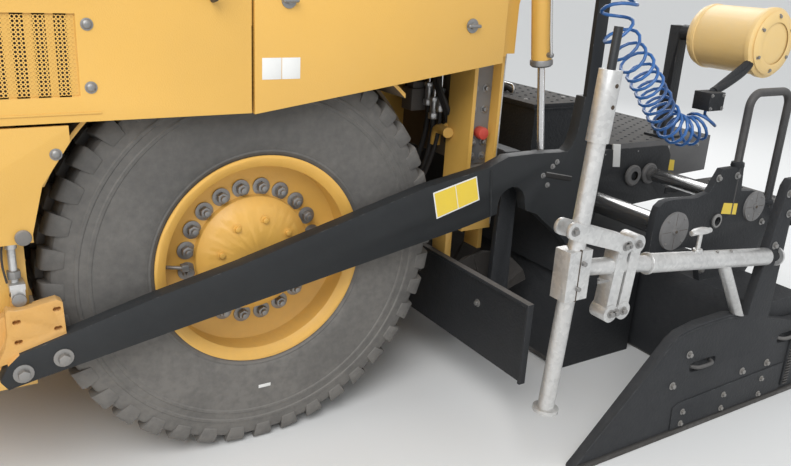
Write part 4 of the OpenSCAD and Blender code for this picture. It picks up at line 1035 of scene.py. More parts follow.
grip_plate = gripping()
panel_grey = coating("grey_panel", (0.085, 0.088, 0.095), 0.5, edge=0.35, bare=(0.28, 0.28, 0.28), dust=0.4,
                     dust_colour=(0.18, 0.17, 0.16), low=1.4, mottle=0.12)
tamper_steel = coating("worn_sole_steel", (0.30, 0.29, 0.28), 0.38, metal=0.8, edge=0.0, dust=0.6,
                       dust_colour=(0.10, 0.095, 0.09), low=0.6, mottle=0.25)
deck_z, lid_z, rear_walk_z = 880, 1090, 630
screed = eased("screed_frame", 0.0025, grimy_black)
second_finish(screed, grip_plate,
              lambda x, y, z, n: n.z > 0.9 and any(abs(z - level_z) < 2 for level_z in (deck_z, lid_z, rear_walk_z)))
second_finish(screed, panel_grey, lambda x, y, z, n: abs(y - 940) < 1.5 and abs(n.y) > 0.9 and 690 < z < 852)
second_finish(screed, tamper_steel, lambda x, y, z, n: z < 60 and -1752 < x < -1290)
guides = {"left": [(-1600, 676, 45), (-2104, 722, 32)], "right": [(-1480, 676, 45), (-1990, 722, 32)]}
sleeves = []
for side, sign in (("left", 1), ("right", -1)):
    for x, z, r_mm in guides[side]:
        r = r_mm / 1000
        for way in (1, -1):
            outer = way == sign
            inner_r = r + 0.0006 if outer else r * 0.72
            sleeves.append(turning("bushing", at(x, way * 945, z), [
                (inner_r, 0.0), (r + 0.016, 0.0), (r + 0.019, 0.003), (r + 0.019, 0.012), (r + 0.012, 0.018),
                (inner_r, 0.018)], panel_grey, 48, 30, (0, way, 0)))
            if not outer:
                sleeves.append(rod("sleeve_end", at(x, way * 947, z), at(x, way * 951, z), r * 0.74, grimy_black,
                                   0.001, 40))
deck_bits = []
for sign in (1, -1):
    deck_bits.append(bolted(button, "heads", [(x, sign * 940, 838) for x in (-1790, -2010, -2230, -2450)],
                            (0, sign, 0), 0.7))
    deck_bits.append(block("lid_lip", at(-1660, sign * 938, 1064), at(-1320, sign * 946, 1072), grimy_black, 0.002))
deck_bits.append(bolted(button, "heads", [(x, y, lid_z) for x in (-1600, -1380) for y in (-820, -300, 300, 820)],
                        upward, 0.6))
for y in (-600, 600):
    deck_bits.append(tube("lid_grip", [at(-1440, y + aside, z) for aside, z in (
        (-60, lid_z), (-58, 1114), (-40, 1124), (40, 1124), (58, 1114), (60, lid_z))], 0.006, bright_rod, 0.008))
deck_bits.append(bolted(small_bolt, "rear_bolts", [(-2540, y, z) for y in (-880, -440, 0, 440, 880)
                                                   for z in (730, 830)], to_rear))
held(joined("screed_fittings", sleeves + deck_bits), "screed")
deck_plates = [plate("deck_plate", profile((-2182, 788), (-2292, 770), (-2296, 716), (-2186, 732)), 0.9402, 0.9414,
                     yellow_plate, 0.0003, 1),
               plate("side_tag", profile((-1832, 884), (-1880, 880), (-1896, 770), (-1848, 775)), 0.9393, 0.9472,
                     white_plate, 0.0012)]
both_sides(joined("deck_plate", deck_plates), "screed")


# Extending screeds: carriers of black plate that ride on two chromed guide tubes, closed by grey cast
# flanges; a bent handrail stands on the side walkway. A wider plate under each makes the mat.
flange_cast = coating("grey_flange", (0.27, 0.27, 0.275), 0.55, metal=0.35, edge=0.5, bare=(0.40, 0.39, 0.38),
                      bare_metal=0.4, dust=0.35, dust_colour=(0.17, 0.16, 0.15), low=1.2, mottle=0.3, grain=80.0,
                      depth=0.0003)
rail_paint = coating("black_rail_paint", (0.026, 0.027, 0.030), 0.40, edge=0.0, dust=0.25,
                     dust_colour=(0.20, 0.19, 0.18), low=2.0, mottle=0.3)
side_walk_z = 668
extensions = ("extension_left", "extension_right")
for side, sign in (("left", 1), ("right", -1)):
    node = "extension_" + side
    outwards = (0, sign, 0)
    piece = eased(node, 0.0022, grimy_black)

    def on_guide(x, z, more):
        return z > 600 and any(math.hypot(x - gx, z - gz) < gr + more for gx, gz, gr in guides[side])

    second_finish(piece, bright_rod, lambda x, y, z, n: y < 1489 and abs(n.y) < 0.6 and on_guide(x, z, 1.0))
    second_finish(piece, flange_cast, lambda x, y, z, n: y > 1520.6 and on_guide(x, z, 36.0))
    second_finish(piece, rail_paint, lambda x, y, z, n: z > 910)
    second_finish(piece, grip_plate, lambda x, y, z, n: n.z > 0.9 and abs(z - side_walk_z) < 2)
    second_finish(piece, tamper_steel, lambda x, y, z, n: z < 60)
    bits = []
    for gx, gz, gr in guides[side]:
        for k in range(4):
            a = math.pi / 4 + k * math.pi / 2
            dowel_x, dowel_z = gx + (gr + 22) * math.cos(a), gz + (gr + 22) * math.sin(a)
            bits.append(rod("dowel", at(dowel_x, sign * 1531, dowel_z), at(dowel_x, sign * 1534.5, dowel_z), 0.0055,
                            bolt_steel, 0.001, 12))
        # A dark brown disc at each guide's centre is painted shade in its hole.
        bits.append(rod("centre", at(gx, sign * 1537, gz), at(gx, sign * 1540.5, gz), 0.0065, joint_and_shade_brown, 0.0005, 20))
        middle = at(gx, sign * 1531.6, gz)
        for way in (0, math.pi / 2):
            reach = Vector((math.cos(way) * (gr + 30) / 1000, 0, math.sin(way) * (gr + 30) / 1000))
            for part in (-1, 1):
                bits.append(rod("seam", middle + reach * part * 0.32, middle + reach * part, 0.0011, joint_and_shade_brown,
                                0.0, 6))
    bits.append(turning("eye_ring", at(-1867, sign * 1519, 684), [
        (0.0195, 0.0), (0.030, 0.0), (0.031, 0.002), (0.031, 0.007), (0.026, 0.010), (0.0195, 0.010)],
                        bolt_steel, 36, 30, outwards))
    # Behind the eye ring, a dark brown disc is painted shade seen through the eye.
    bits.append(rod("eye_back", at(-1867, sign * 1488, 684), at(-1867, sign * 1494, 684), 0.0215, joint_and_shade_brown, 0.0, 24))
    y0, y1 = sorted((sign * 1.5201, sign * 1.5213))
    bits.append(plate("carrier_plate", profile((-1897, 758), (-1992, 745), (-1993, 696), (-1890, 712)), y0, y1,
                      yellow_plate, 0.0003, 1))
    bits.append(bolted(small_bolt, "bolts", [(x, sign * 1520, z) for x, z in (
        (-1830, 870), (-1950, 870), (-2190, 640), (-2190, 500), (-1830, 470))], outwards))
    for x, foot_z in ((-2225, 716), (-1960, 905)):
        bits.append(turning("rail_foot", at(x, sign * 1505, foot_z), [
            (0.018, 0.0), (0.027, 0.0), (0.028, 0.002), (0.026, 0.018), (0.018, 0.022)],
                            grimy_black, 32, 40, upward))
    held(joined("extension_fittings_" + side, bits), body_of[node])


# End gates: black plates that slide along the ground and keep the mat's edge, with a toe in front, a
# light worn shoe, two sunk handles and a threaded height adjuster.
for node in ("end_gate_left", "end_gate_right"):
    eased(node, 0.004, grimy_black, 3)
out_y = 1848
shoe_y0, shoe_y1 = (out_y - 2) / 1000, (out_y + 11) / 1000
gate_bits = [block("shoe", at(-2236, out_y - 2, 1), at(-905, out_y + 11, 21), tamper_steel, 0.003),
             plate("shoe_toe", profile((-905, 1), (-862, 10), (-868, 22), (-905, 21)), shoe_y0, shoe_y1,
                   tamper_steel, 0.002)]
for x0 in (-1420, -1960):
    gate_bits.append(tube("handle", [at(x0 + x, out_y + out_by, 270) for x, out_by in (
        (2, -12), (-8, 4), (-28, 11), (-82, 11), (-102, 4), (-112, -12))], 0.0075, rail_paint, 0.008))
gate_bits.append(tube("edge_bead", [at(x, out_y + 1, z) for x, z in (
    (-906, 62), (-1010, 156), (-1140, 276), (-1262, 388), (-1306, 418), (-1410, 434), (-1580, 439), (-1640, 427))],
                      0.0035, grimy_black))
gate_bits.append(plate("low_panel", profile((-1346, 22), (-1340, 118), (-1372, 134), (-2020, 150), (-2020, 22)),
                       (out_y - 1) / 1000, (out_y + 5) / 1000, grimy_black, 0.002))
gate_bits.append(block("rack_bar", at(-2068, out_y - 1, 40), at(-2032, out_y + 9, 262), grimy_black, 0.002))
for z in range(48, 256, 13):
    gate_bits.append(block("tooth", at(-2066, out_y + 8, z), at(-2034, out_y + 14, z + 6), tamper_steel, 0.0015))
gate_bits.append(bolted(small_bolt, "gate_bolts", [(x, out_y, z) for x, z in (
    (-1382, 332), (-1316, 219), (-1740, 176), (-1900, 176), (-2180, 250), (-1770, 700), (-1790, 900),
    (-1815, 820))], to_left))
gate_bits.append(bolted(small_bolt, "panel_bolts", [(x, out_y + 5, z) for x, z in (
    (-1400, 90), (-1640, 100), (-1880, 110), (-1400, 40), (-1640, 40), (-1880, 40))], to_left, 0.8))
both_sides(joined("gate_fittings", gate_bits), (body_of["end_gate_left"], body_of["end_gate_right"]))


# Side control stands: a yellow drum on a short arm over the deck with a bolted cover, a black post and
# a small junction box that takes the curly lead.
drum_paint = coating("yellow_drum_paint", (0.90, 0.61, 0.215), 0.42, edge=0.15, bare=(0.75, 0.66, 0.48), bare_metal=0.0,
                     dust=0.2, dust_colour=(0.70, 0.60, 0.44), low=2.5, mottle=0.05, coat=0.1)
consoles = eased("side_consoles", 0.003, drum_paint)
drum_x, drum_z = -2250, 1385
second_finish(consoles, grimy_black, lambda x, y, z, n: y < 1004.5 or math.hypot(x - drum_x, z - drum_z) > 152)
console_bits = [
    turning("cover_ring", at(drum_x, 1364, drum_z), [
        (0.088, 0.0), (0.132, 0.0), (0.134, 0.003), (0.130, 0.006), (0.096, 0.011), (0.088, 0.010)],
            drum_paint, 72, 30, to_left),
    ringed(small_bolt, "cover_bolts", at(drum_x, 1370, drum_z), 0.112, 6, to_left, 0.5, 0.75),
    turning("band", at(drum_x, 1048, drum_z), [(0.1398, 0.0), (0.1425, 0.002), (0.1425, 0.016), (0.1398, 0.018)],
            drum_paint, 72, 30, to_left)]
both_sides(joined("console_cover", console_bits), "screed")
box_bits = [
    turning("lead_gland", curly[-1], [
        (0.0066, 0.0), (0.0085, 0.0), (0.0105, -0.018), (0.017, -0.024), (0.017, -0.036), (0.0066, -0.040)],
            hose_rubber, 28, 40, (0, 0, -1)),
    turning("lead_gland_top", curly[0], [
        (0.0066, 0.0), (0.0085, 0.0), (0.0105, 0.020), (0.017, 0.028), (0.017, 0.042), (0.0066, 0.046)],
            hose_rubber, 28, 40, upward),
    bolted(small_bolt, "box_screws", [(x, 1435, z) for x, z in (
        (-1880, 1138), (-1810, 1138), (-1880, 1190), (-1810, 1190))], to_left, 0.5),
    tube("sleeve_pipe", [at(-2160, 1340, 1312), at(-2100, 1350, 1270), at(-2000, 1368, 1234), at(-1880, 1384, 1196)],
         0.019, grimy_black)]
both_sides(joined("console_box_fittings", box_bits), "screed")


# Rear columns: channels of thick plate; the grey web with its bolts shows between the yellow flanges.
# Hydraulic pipes, their fittings and a valve block stand on the wall beside each column.
web_grey = coating("grey_web", (0.24, 0.235, 0.23), 0.6, edge=0.0, dust=0.5, dust_colour=(0.20, 0.175, 0.15), low=1.2,
                   mottle=0.25)
red_plastic = coating("red_cap", (0.62, 0.055, 0.035), 0.45, edge=0.0, dust=0.2, dust_colour=(0.45, 0.22, 0.16),
                      mottle=0.08)
web = [block("web", at(-983, 1059, 703), at(-877, 1062, 1297), web_grey, 0.0),
       block("web_edge", at(-1001.5, 1106, 655), at(-996, 1112, 1325), galvanised, 0.0015),
       block("low_plate", at(-976, 1060, 900), at(-884, 1072, 1010), panel_grey, 0.003),
       rod("red_cap", at(-937, 1060, 1022), at(-937, 1100, 1022), 0.024, red_plastic, 0.006, 32),
       bolted(small_bolt, "web_bolts", [(x, 1062, z) for x, z in (
           (-905, 1110), (-905, 1190), (-955, 1110), (-955, 1190), (-930, 760), (-930, 830))], to_left),
       bolted(small_bolt, "plate_bolts", [(x, 1072, z) for z in (930, 985) for x in (-905, -955)], to_left)]
both_sides(joined("column_web", web), "machine")
cast_grey = coating("grey_casting", (0.20, 0.195, 0.19), 0.55, metal=0.3, edge=0.4, bare=(0.42, 0.41, 0.40), dust=0.5,
                    dust_colour=(0.20, 0.165, 0.13), low=1.7, mottle=0.25, grain=90.0, depth=0.0003)
pipes = [block("valve", at(-884, 715, 1060), at(-800, 790, 1150), cast_grey, 0.005),
         block("valve_top", at(-878, 728, 1148), at(-812, 778, 1176), cast_grey, 0.004),
         tube("stub_pipe", [at(*p) for p in (
             (-840, 1000, 1012), (-850, 975, 1012), (-862, 930, 1011), (-866, 900, 1006), (-870, 880, 990),
             (-872, 872, 940))], 0.021, yellow_paint, 0.012),
         rod("flange", at(-866, 950, 1011), at(-870, 962, 1012), 0.031, yellow_paint, 0.003, 32)]
for y, z0, z1, r in ((820, 1088, 1180, 0.0165), (862, 1040, 1128, 0.0165), (905, 1076, 1168, 0.012)):
    for name, low, high, wide, sides in (("fitting", z0, z0 + 24, 1.35, 6), ("fitting_body", z0 + 20, z1, 1, 28),
                                         ("fitting_top", z1 - 18, z1, 1.3, 6)):
        pipes.append(rod(name, at(-862, y, low), at(-862, y, high), r * wide, galvanised, 0.002, sides))
    pipes.append(tube("pipe", [at(-862, y, z1 - 4), at(-862, y, z1 + 80), at(-866, y - 10, z1 + 170),
                               at(-872, y - 20, 1440), at(-874, y - 20, 1600)], r * 0.62, bright_rod))
    pipes.append(tube("hose", [at(-862, y, z0 + 4), at(-862, y, z0 - 60), at(-858, y - 16, z0 - 150),
                               at(-852, y - 60, z0 - 260), at(-846, y - 110, z0 - 330)], r * 0.7, hose_rubber))
for k in range(3):
    y = 935 + 14 * k
    pipes.append(tube("hose_loop", [at(-872, 800 + 20 * k, 1300), at(-850, 850 + 20 * k, 1235),
                                    at(-836, 900 + 14 * k, 1180), at(-846, y, 1120), at(-872, y, 1060),
                                    at(-880, y, 960)], 0.0085, hose_rubber))
both_sides(joined("column_pipes", pipes), "machine")
# Walls deep inside the frame, inside the columns and behind the panels take a dark brown: partly dust, partly painted
# shade, the shade they stand in.
dusty_shaded_wall = coating("dusty_wall_painted_shade", (0.12, 0.082, 0.045), 0.7, edge=0.0, dust=0.5, dust_colour=(0.16, 0.12, 0.08),
                     low=1.8, mottle=0.3)
second_finish(skins["rear_posts"], dusty_shaded_wall, lambda x, y, z, n: n.x > 0.5 and y < 958 and z < 1500 and x < -884)
second_finish(skins["main_frame"], dusty_shaded_wall, lambda x, y, z, n: x < 690 and abs(n.y) > 0.9 and y > 600)
second_finish(skins["side_panels"], dusty_shaded_wall, lambda x, y, z, n: y < 1170 and x < 780 and z > 640)


# Grip studs: rows of punched studs on the deck, the lid and the side walkways.
def studs(name, low, high, pitch, material, body, mirrored=False):
    """Round raised studs in staggered rows over a level rectangle given in millimetres."""
    bpy.ops.mesh.primitive_cone_add(vertices=10, radius1=0.0085, radius2=0.0055, depth=0.004, end_fill_type="TRIFAN")
    stud = done(bpy.context.object, "stud", material, 60)
    made = []
    rows = int((high[0] - low[0]) / pitch)
    cols = int((high[1] - low[1]) / pitch)
    for k in range(rows):
        for m in range(cols):
            made.append(Matrix.Translation(at(low[0] + pitch * (k + 0.5),
                                              low[1] + pitch * (m + 0.25 + 0.5 * (k % 2)), low[2] + 1.5)))
    piece = copied(stud, name, *made)
    bpy.data.objects.remove(stud)
    if mirrored:
        both_sides(piece, body)
    else:
        held(piece, body)


stud_pitch = 58
for name, x0, x1, half_y, z in (("deck_studs", -2535, -1840, 930, deck_z), ("lid_studs", -1655, -1325, 935, lid_z),
                                ("rear_walk_studs", -2555, -2270, 930, rear_walk_z)):
    studs(name, (x0, -half_y, z), (x1, half_y, z), stud_pitch, grimy_black, "screed")
studs("side_walk_studs", (-2555, 990, side_walk_z), (-2270, 1480, side_walk_z), stud_pitch, grimy_black, extensions,
      True)


# Hopper: two wings of thick plate hinged along the chassis, yellow outside and scoured to dark steel
# inside by the mix, over slat conveyors whose chains run along their ends.
scoured = coating("worn_scoured_steel", (0.085, 0.080, 0.076), 0.42, metal=0.6, edge=0.5, bare=(0.40, 0.38, 0.36),
                  bare_metal=0.4, dust=0.35, dust_colour=(0.05, 0.047, 0.045), low=3.0, mottle=0.45, grain=45.0,
                  depth=0.0006)
wings = ("wing_left", "wing_right")
for node in wings:
    wing = eased(node, 0.003, yellow_paint)
    second_finish(wing, scoured, lambda x, y, z, n: n.z > 0.2 and n.y < 0.25 and 690 < z < 1126 and x > 1512)
strip = block("corner_strip", (-0.857, -0.0294, -0.005), (0.857, 0.0294, 0), scoured, 0.0015)
strip.data.transform(Matrix.Translation(at(2383, 1225, 792.4)) @ Matrix.Rotation(math.radians(31.6), 4, "X"))
both_sides(strip, wings)
for node in ("wing_barrel_left", "wing_barrel_right"):
    eased(node, 0.002, yellow_paint)
for node in ("wing_rod_left", "wing_rod_right"):
    eased(node, 0.001, bright_rod)
second_finish(skins["hopper_frame"], scoured, lambda x, y, z, n: n.x > 0.9 and 1490 < x < 1500 and z > 660)
tunnel_floor_z = 572
for node in ("nose_frame", "tunnel"):
    second_finish(skins[node], scoured, lambda x, y, z, n: n.z > 0.9 and abs(z - tunnel_floor_z) < 3)
eased("conveyors", 0.002, worn_cast)
link = joined("link", [block("link", (-0.034, -0.0115, 0), (0.034, 0.0115, 0.010), worn_cast, 0.006, 3),
                       rod("pin", (0.040, -0.016, 0.004), (0.040, 0.016, 0.004), 0.0075, worn_cast, 0.001, 14)])
links = copied(link, "chain_links", *[Matrix.Translation(at(x, y, 596)) for y in (75, 515)
                                      for x in range(-840, 3170, 80)])
bpy.data.objects.remove(link)
both_sides(links, "machine")
apron = [block("apron", at(3262, -552, 470), at(3270, 552, 640), hose_rubber, 0.003),
         block("apron_strip", at(3268, -552, 612), at(3274, 552, 640), yellow_paint, 0.002),
         bolted(small_bolt, "apron_bolts", [(3274, y, 626) for y in range(-500, 501, 125)], to_front)]
held(joined("front_apron", apron), "machine")


# Push beam and rollers, bogies and front wheels: the beam pivots on the nose and pushes the lorry's
# rear wheels with two steel rollers; small solid-tyred wheels pair up on swinging bogies.
eased("push_beam", 0.004, yellow_paint)
for node in ("push_roller_left", "push_roller_right"):
    eased(node, 0.004, worn_cast)
beam_bits = [bolted(big_bolt, "beam_bolts", [(3505, y, z) for y in (-700, -420, 420, 700) for z in (450, 566)],
                    to_rear),
             bolted(big_bolt, "pivot_bolt", [(3430, 0, 590)], upward, 1.5)]
beam_bits += [turning("roller_cap", at(3650, sign * 850, 510), [
    (0.0, 0.0), (0.042, 0.0), (0.044, 0.003), (0.044, 0.012), (0.036, 0.018), (0.0, 0.018)],
                      cast_yellow, 40, 30, (0, sign, 0)) for sign in (-1, 1)]
held(joined("beam_fittings", beam_bits), "push_beam")
for node in ("bogie_left", "bogie_right"):
    eased(node, 0.004, yellow_paint)
bogie_x, front_wheel_z = 2450, 270
for node in ("front_wheel_left_1", "front_wheel_left_2", "front_wheel_right_1", "front_wheel_right_2"):
    centre_x = bogie_x + (320 if node.endswith("1") else -320)
    sign = 1 if "left" in node else -1
    piece = eased(node, 0.004, rubber)
    second_finish(piece, rim_paint, lambda x, y, z, n: math.hypot(x - centre_x, z - front_wheel_z) < 190.5)
    held(ringed(small_bolt, "hub_bolts_" + node, at(centre_x, sign * 935, front_wheel_z), 0.145, 8, (0, sign, 0), 0),
         node)
    cap = turning("wheel_cap_" + node, at(centre_x, sign * 994, front_wheel_z), [
        (0.0, 0.010), (0.030, 0.010), (0.036, 0.006), (0.038, 0.0), (0.0, 0.0)], rim_paint, 40, 30, (0, sign, 0))
    held(cap, node)


# Hood: pressed panels with a raised spine, latches and hinges; a dark brown sheet under its slots is
# painted shade, the shade seen through them. The exhaust is a steel pipe with a heat shield and a
# slanted mouth.
engine_grey = coating("grey_engine", (0.11, 0.115, 0.12), 0.5, metal=0.3, edge=0.2, dust=0.3, low=2.5, mottle=0.2)
eased("engine", 0.01, engine_grey, 3)
held(block("slot_mesh", at(755, -425, 2018), at(1190, 425, 2022), joint_and_shade_brown, 0.001), "machine")
stainless = coating("bright_exhaust_steel", (0.46, 0.43, 0.40), 0.32, metal=0.9, edge=0.0, dust=0.3,
                    dust_colour=(0.16, 0.11, 0.08), low=4.5, mottle=0.2)
eased("exhaust", 0.002, stainless)
mouth_at, mouth_way = at(366, 700, 2588), (-0.48, 0, 0.88)
shield_ring = [(0.054, 0.0), (0.060, 0.0), (0.061, 0.002), (0.061, 0.016), (0.060, 0.018), (0.054, 0.018)]
pipe_bits = [turning("shield_ring", at(420, 700, z), shield_ring, stainless, 48, 30, upward)
             for z in (2075, 2250, 2430)]
for name, place, outline, material, way in (
        ("mouth", mouth_at, [(0.040, 0.0), (0.0505, -0.002), (0.052, 0.004), (0.0505, 0.014), (0.040, 0.015)],
         stainless, mouth_way),
        # The dark disc inside the mouth is soot and painted shade, the dark inside the pipe.
        ("inside", mouth_at, [(0.0, 0.0146), (0.041, 0.0146), (0.041, 0.0135), (0.0, 0.0135)], joint_and_shade_brown, mouth_way),
        ("foot_flange", at(420, 700, 2040), [(0.055, 0.0), (0.085, 0.0), (0.086, 0.003), (0.086, 0.010),
                                             (0.055, 0.012)], black_paint, upward)):
    pipe_bits.append(turning(name, place, outline, material, 48, 30, way))
held(joined("exhaust_fittings", pipe_bits), "machine")


# Canopy: a pressed yellow roof with ribs over a frame of square black tube, and work lamps at its ends.
eased("canopy_roof", 0.006, yellow_paint, 3)
eased("canopy_frame", 0.006, black_paint, 3)
lamp_black = coating("black_lamp_housing", (0.018, 0.018, 0.019), 0.5, edge=0.15, dust=0.15, mottle=0.1)
eased("lamps", 0.003, lamp_black, 3)


def clear_lens():
    made, tree, shade, where = surface("lamp_glass")
    glass = blended(tree, noise(tree, where, 60.0, 3.0), (0.72, 0.74, 0.76), (0.90, 0.91, 0.92))
    wire(tree, glass, shade.inputs["Base Color"])
    shade.inputs["Roughness"].default_value = 0.06
    shade.inputs["Metallic"].default_value = 0.35
    shade.inputs["Coat Weight"].default_value = 1.0
    shade.inputs["Coat Roughness"].default_value = 0.03
    ribs = node_of(tree, "ShaderNodeTexWave", wave_type="BANDS", bands_direction="Y")
    ribs.inputs["Scale"].default_value = 60.0
    wire(tree, where, ribs.inputs["Vector"])
    embossed(tree, shade, ribs.outputs["Fac"], 0.6, 0.002)
    return made


lens_glass = clear_lens()
lamp_z = 3228
lenses, bezels = [], []
for x, way in ((415, 1), (-1175, -1)):
    for y in (935, 1025):
        front = at(x, y, lamp_z)
        lenses.append(turning("lens", front, [
            (0.0, 0.006), (0.020, 0.0052), (0.034, 0.002), (0.037, -0.002), (0.0, -0.002)],
                              lens_glass, 40, 60, (way, 0, 0)))
        bezels.append(turning("bezel", front, [
            (0.034, -0.004), (0.0445, -0.004), (0.0455, 0.0), (0.0445, 0.007), (0.038, 0.008), (0.034, 0.002)],
                              lamp_black, 40, 30, (way, 0, 0)))
        bezels.append(turning("back", at(x - way * 55, y, lamp_z), [
            (0.0, 0.016), (0.018, 0.015), (0.034, 0.008), (0.041, 0.0), (0.0, 0.0)],
                              lamp_black, 40, 50, (-way, 0, 0)))
both_sides(joined("lenses", lenses), "machine")
both_sides(joined("lamp_rims", bezels), "machine")


def roof_top(x, y):
    across = 3440 if abs(y) <= 400 else 3440 - (abs(y) - 400) / 720 * 30
    length = 3420 + (x + 1060) / 760 * 30 if x < -300 else 3450 - (x + 300) / 600 * 30
    return min(across, length)


ribs = [tube("roof_bead", [at(x, y, roof_top(x, y) - 3) for x in range(-1000, 261, 60)], 0.0085, yellow_paint, 0.04)
        for y in (-960, -720, -480, -240, 0, 240, 480, 720, 960)]
ribs.append(tube("roof_edge", [at(-1181, 600, 3352), at(-1181, -600, 3352)], 0.004, yellow_paint, 0.2))
held(joined("roof_ribs", ribs), "machine")
knees = []
for x, way in ((-900, 1), (90, -1)):
    knees.append(plate("knee", profile(*[(x + way * a, z) for a, z in (
        (28, 3242), (28, 3110), (40, 3110), (160, 3230), (160, 3242))]), 1.186, 1.194, black_paint, 0.002))
    knees.append(block("foot", at(x - 60, 1135, 1649), at(x + 60, 1236, 1662), black_paint, 0.003))
    knees.append(bolted(small_bolt, "foot_bolts", [(x + a, 1190 + b, 1662) for a in (-47, 47) for b in (-40, 36)],
                        upward))
both_sides(joined("canopy_knees", knees), "machine")


# Curly leads' jacket: smooth blue polyurethane, darkened in places by hands and binder.
cord_blue, tree, shade, where = surface("cord_blue")
jacket = blended(tree, noise(tree, where, 14.0, 4.0, 0.6), (0.012, 0.055, 0.20), (0.045, 0.19, 0.52))
stains = times(tree, number(tree, "SUBTRACT", noise(tree, where, 5.0, 5.0, 0.7), 0.52), 5.0, True)
wire(tree, blended(tree, stains, jacket, (0.020, 0.030, 0.055)), shade.inputs["Base Color"])
wire(tree, plus(tree, times(tree, stains, 0.25), 0.28, True), shade.inputs["Roughness"])
shade.inputs["Coat Weight"].default_value = 0.25
shade.inputs["Coat Roughness"].default_value = 0.15
embossed(tree, shade, noise(tree, where, 320.0, 3.0), 0.3, 0.0006)
for cord in cords:
    cord.data.materials.append(cord_blue)


# Operators' platform: black plate with studs and toe boards, steps and a ladder behind; handles stand by
# the steps.
deck_paint = coating("black_deck_paint", (0.022, 0.023, 0.025), 0.6, edge=0.4, bare=(0.22, 0.22, 0.22), dust=0.35,
                     dust_colour=(0.12, 0.115, 0.11), low=2.4, mottle=0.25)
eased("platform", 0.002, deck_paint)
platform_z, step_pitch = 1650, 42
for name, x0, x1 in (("platform_studs", -935, -525), ("platform_studs_front", -525, 140)):
    studs(name, (x0, -1215, platform_z), (x1, 1215, platform_z), stud_pitch, deck_paint, "machine")
for name, x0, z in (("step_studs", -1075, 1045), ("step_studs_2", -1025, 1245), ("step_studs_3", -975, 1445)):
    studs(name, (x0, -245, z), (-905, 245, z), step_pitch, deck_paint, "machine")
rails = [tube("step_rail", [at(x, y, z) for x, z in (
    (-918, 1010), (-1012, 1090), (-1030, 1200), (-1010, 1500), (-985, 1800), (-985, 2050), (-972, 2120),
    (-938, 2146))], 0.014, rail_paint) for y in (-275, 275)]
held(joined("step_rails", rails), "machine")
toe_bolts = copied(button, "toe_bolts", *[facing_to(at(x, s * panel_y, 1672), (0, s, 0)) @ Matrix.Scale(0.7, 4)
                                          for x in (-780, -520, -260, 0, 110) for s in (1, -1)])
held(toe_bolts, "machine")


# Operators' stands: a console with a sloped board of blank instruments, keys and a wheel on its column,
# and on each side a seat on a bellows suspension that stands on its swivel.
console_grey = coating("grey_console", (0.050, 0.052, 0.055), 0.5, edge=0.15, bare=(0.16, 0.16, 0.16), dust=0.15,
                       low=2.4, mottle=0.1, grain=500.0, depth=0.0002)
wheel_black = coating("black_wheel_grip", (0.014, 0.014, 0.015), 0.5, edge=0.0, dust=0.1, mottle=0.1, grain=600.0,
                      depth=0.0002)
stand = eased("operator_stand", 0.006, console_grey, 3)
second_finish(stand, wheel_black, lambda x, y, z, n: z > 2390 and x < -140 and y < 230)
second_finish(stand, deck_paint, lambda x, y, z, n: y > 600 and z < 2070)


def dark_glass():
    """A dead display: dark glass over a matt ground."""
    made, tree, shade, where = surface("display_glass")
    glass = blended(tree, noise(tree, where, 8.0, 4.0), (0.010, 0.013, 0.016), (0.022, 0.027, 0.032))
    wire(tree, glass, shade.inputs["Base Color"])
    shade.inputs["Roughness"].default_value = 0.08
    shade.inputs["Coat Weight"].default_value = 1.0
    return made


display = dark_glass()
key_white = coating("white_key", (0.55, 0.55, 0.54), 0.4, edge=0.0, dust=0.1, mottle=0.03)
key_green = coating("green_key", (0.03, 0.28, 0.08), 0.4, edge=0.0, dust=0.1, mottle=0.03)
board_low, board_high = at(-229, 0, 2392), at(98, 0, 2600)
along_board = (board_high - board_low).normalized()
off_board = Vector((-along_board.z, 0, along_board.x))


def board(name, u, v, size_u, size_v, lift, material, width=0.002):
    """A block lying on the sloped board; u runs up the board and v across it, in metres."""
    piece = block(name, (-size_u / 2, -size_v / 2, 0), (size_u / 2, size_v / 2, lift), material, width)
    place = board_low + along_board * u + Vector((0, v, 0)) + off_board * 0.001
    across = Vector((0, 1, 0))
    frame_of = Matrix((along_board, across, along_board.cross(across))).transposed().to_4x4()
    piece.data.transform(Matrix.Translation(place) @ frame_of)
    return piece


panel = [board("bezel", 0.235, 0.0, 0.150, 0.230, 0.012, wheel_black, 0.005),
         board("screen", 0.235, 0.0, 0.118, 0.196, 0.0135, display, 0.0008)]
for v in (-0.20, 0.20):
    panel.append(board("key_field", 0.20, v, 0.230, 0.120, 0.005, wheel_black))
    for k in range(5):
        for m in range(3):
            which = {(4, 0): key_green, (4, 2): red_plastic}.get((k, m), key_white)
            panel.append(board("key", 0.115 + 0.040 * k, v - 0.036 + 0.036 * m, 0.024, 0.024, 0.010, which, 0.003))
for v in (-0.055, 0.055):
    place = board_low + along_board * 0.075 + Vector((0, v, 0))
    panel.append(turning("lever_boot", place, [
        (0.0, 0.030), (0.010, 0.029), (0.013, 0.022), (0.020, 0.016), (0.021, 0.008), (0.030, 0.004), (0.031, 0.0),
        (0.0, 0.0)], wheel_black, 32, 40, off_board))
    panel.append(rod("lever", place + off_board * 0.02, place + off_board * 0.085, 0.006, bright_rod, 0.001, 16))
    panel.append(turning("lever_knob", place + off_board * 0.080, [
        (0.0, 0.036), (0.012, 0.034), (0.018, 0.026), (0.018, 0.012), (0.010, 0.002), (0.0, 0.0)],
                         wheel_black, 32, 50, off_board))
panel.append(block("console_door", at(-46, -145, 1735), at(-39, 145, 2235), console_grey, 0.004))
panel.append(bolted(button, "door_screws", [(-46, y, z) for y in (-125, 125) for z in (1760, 2210)], to_rear, 0.6))
held(joined("console_fittings", panel), "machine")
seat_x, seat_y = -520, 900
bellows = []
shell_up = Vector((-70, 0, 560)).normalized()
shell_back = Vector((-560, 0, -70)).normalized()
behind_shell = Matrix((shell_up, shell_back.cross(shell_up), shell_back)).transposed().to_4x4()
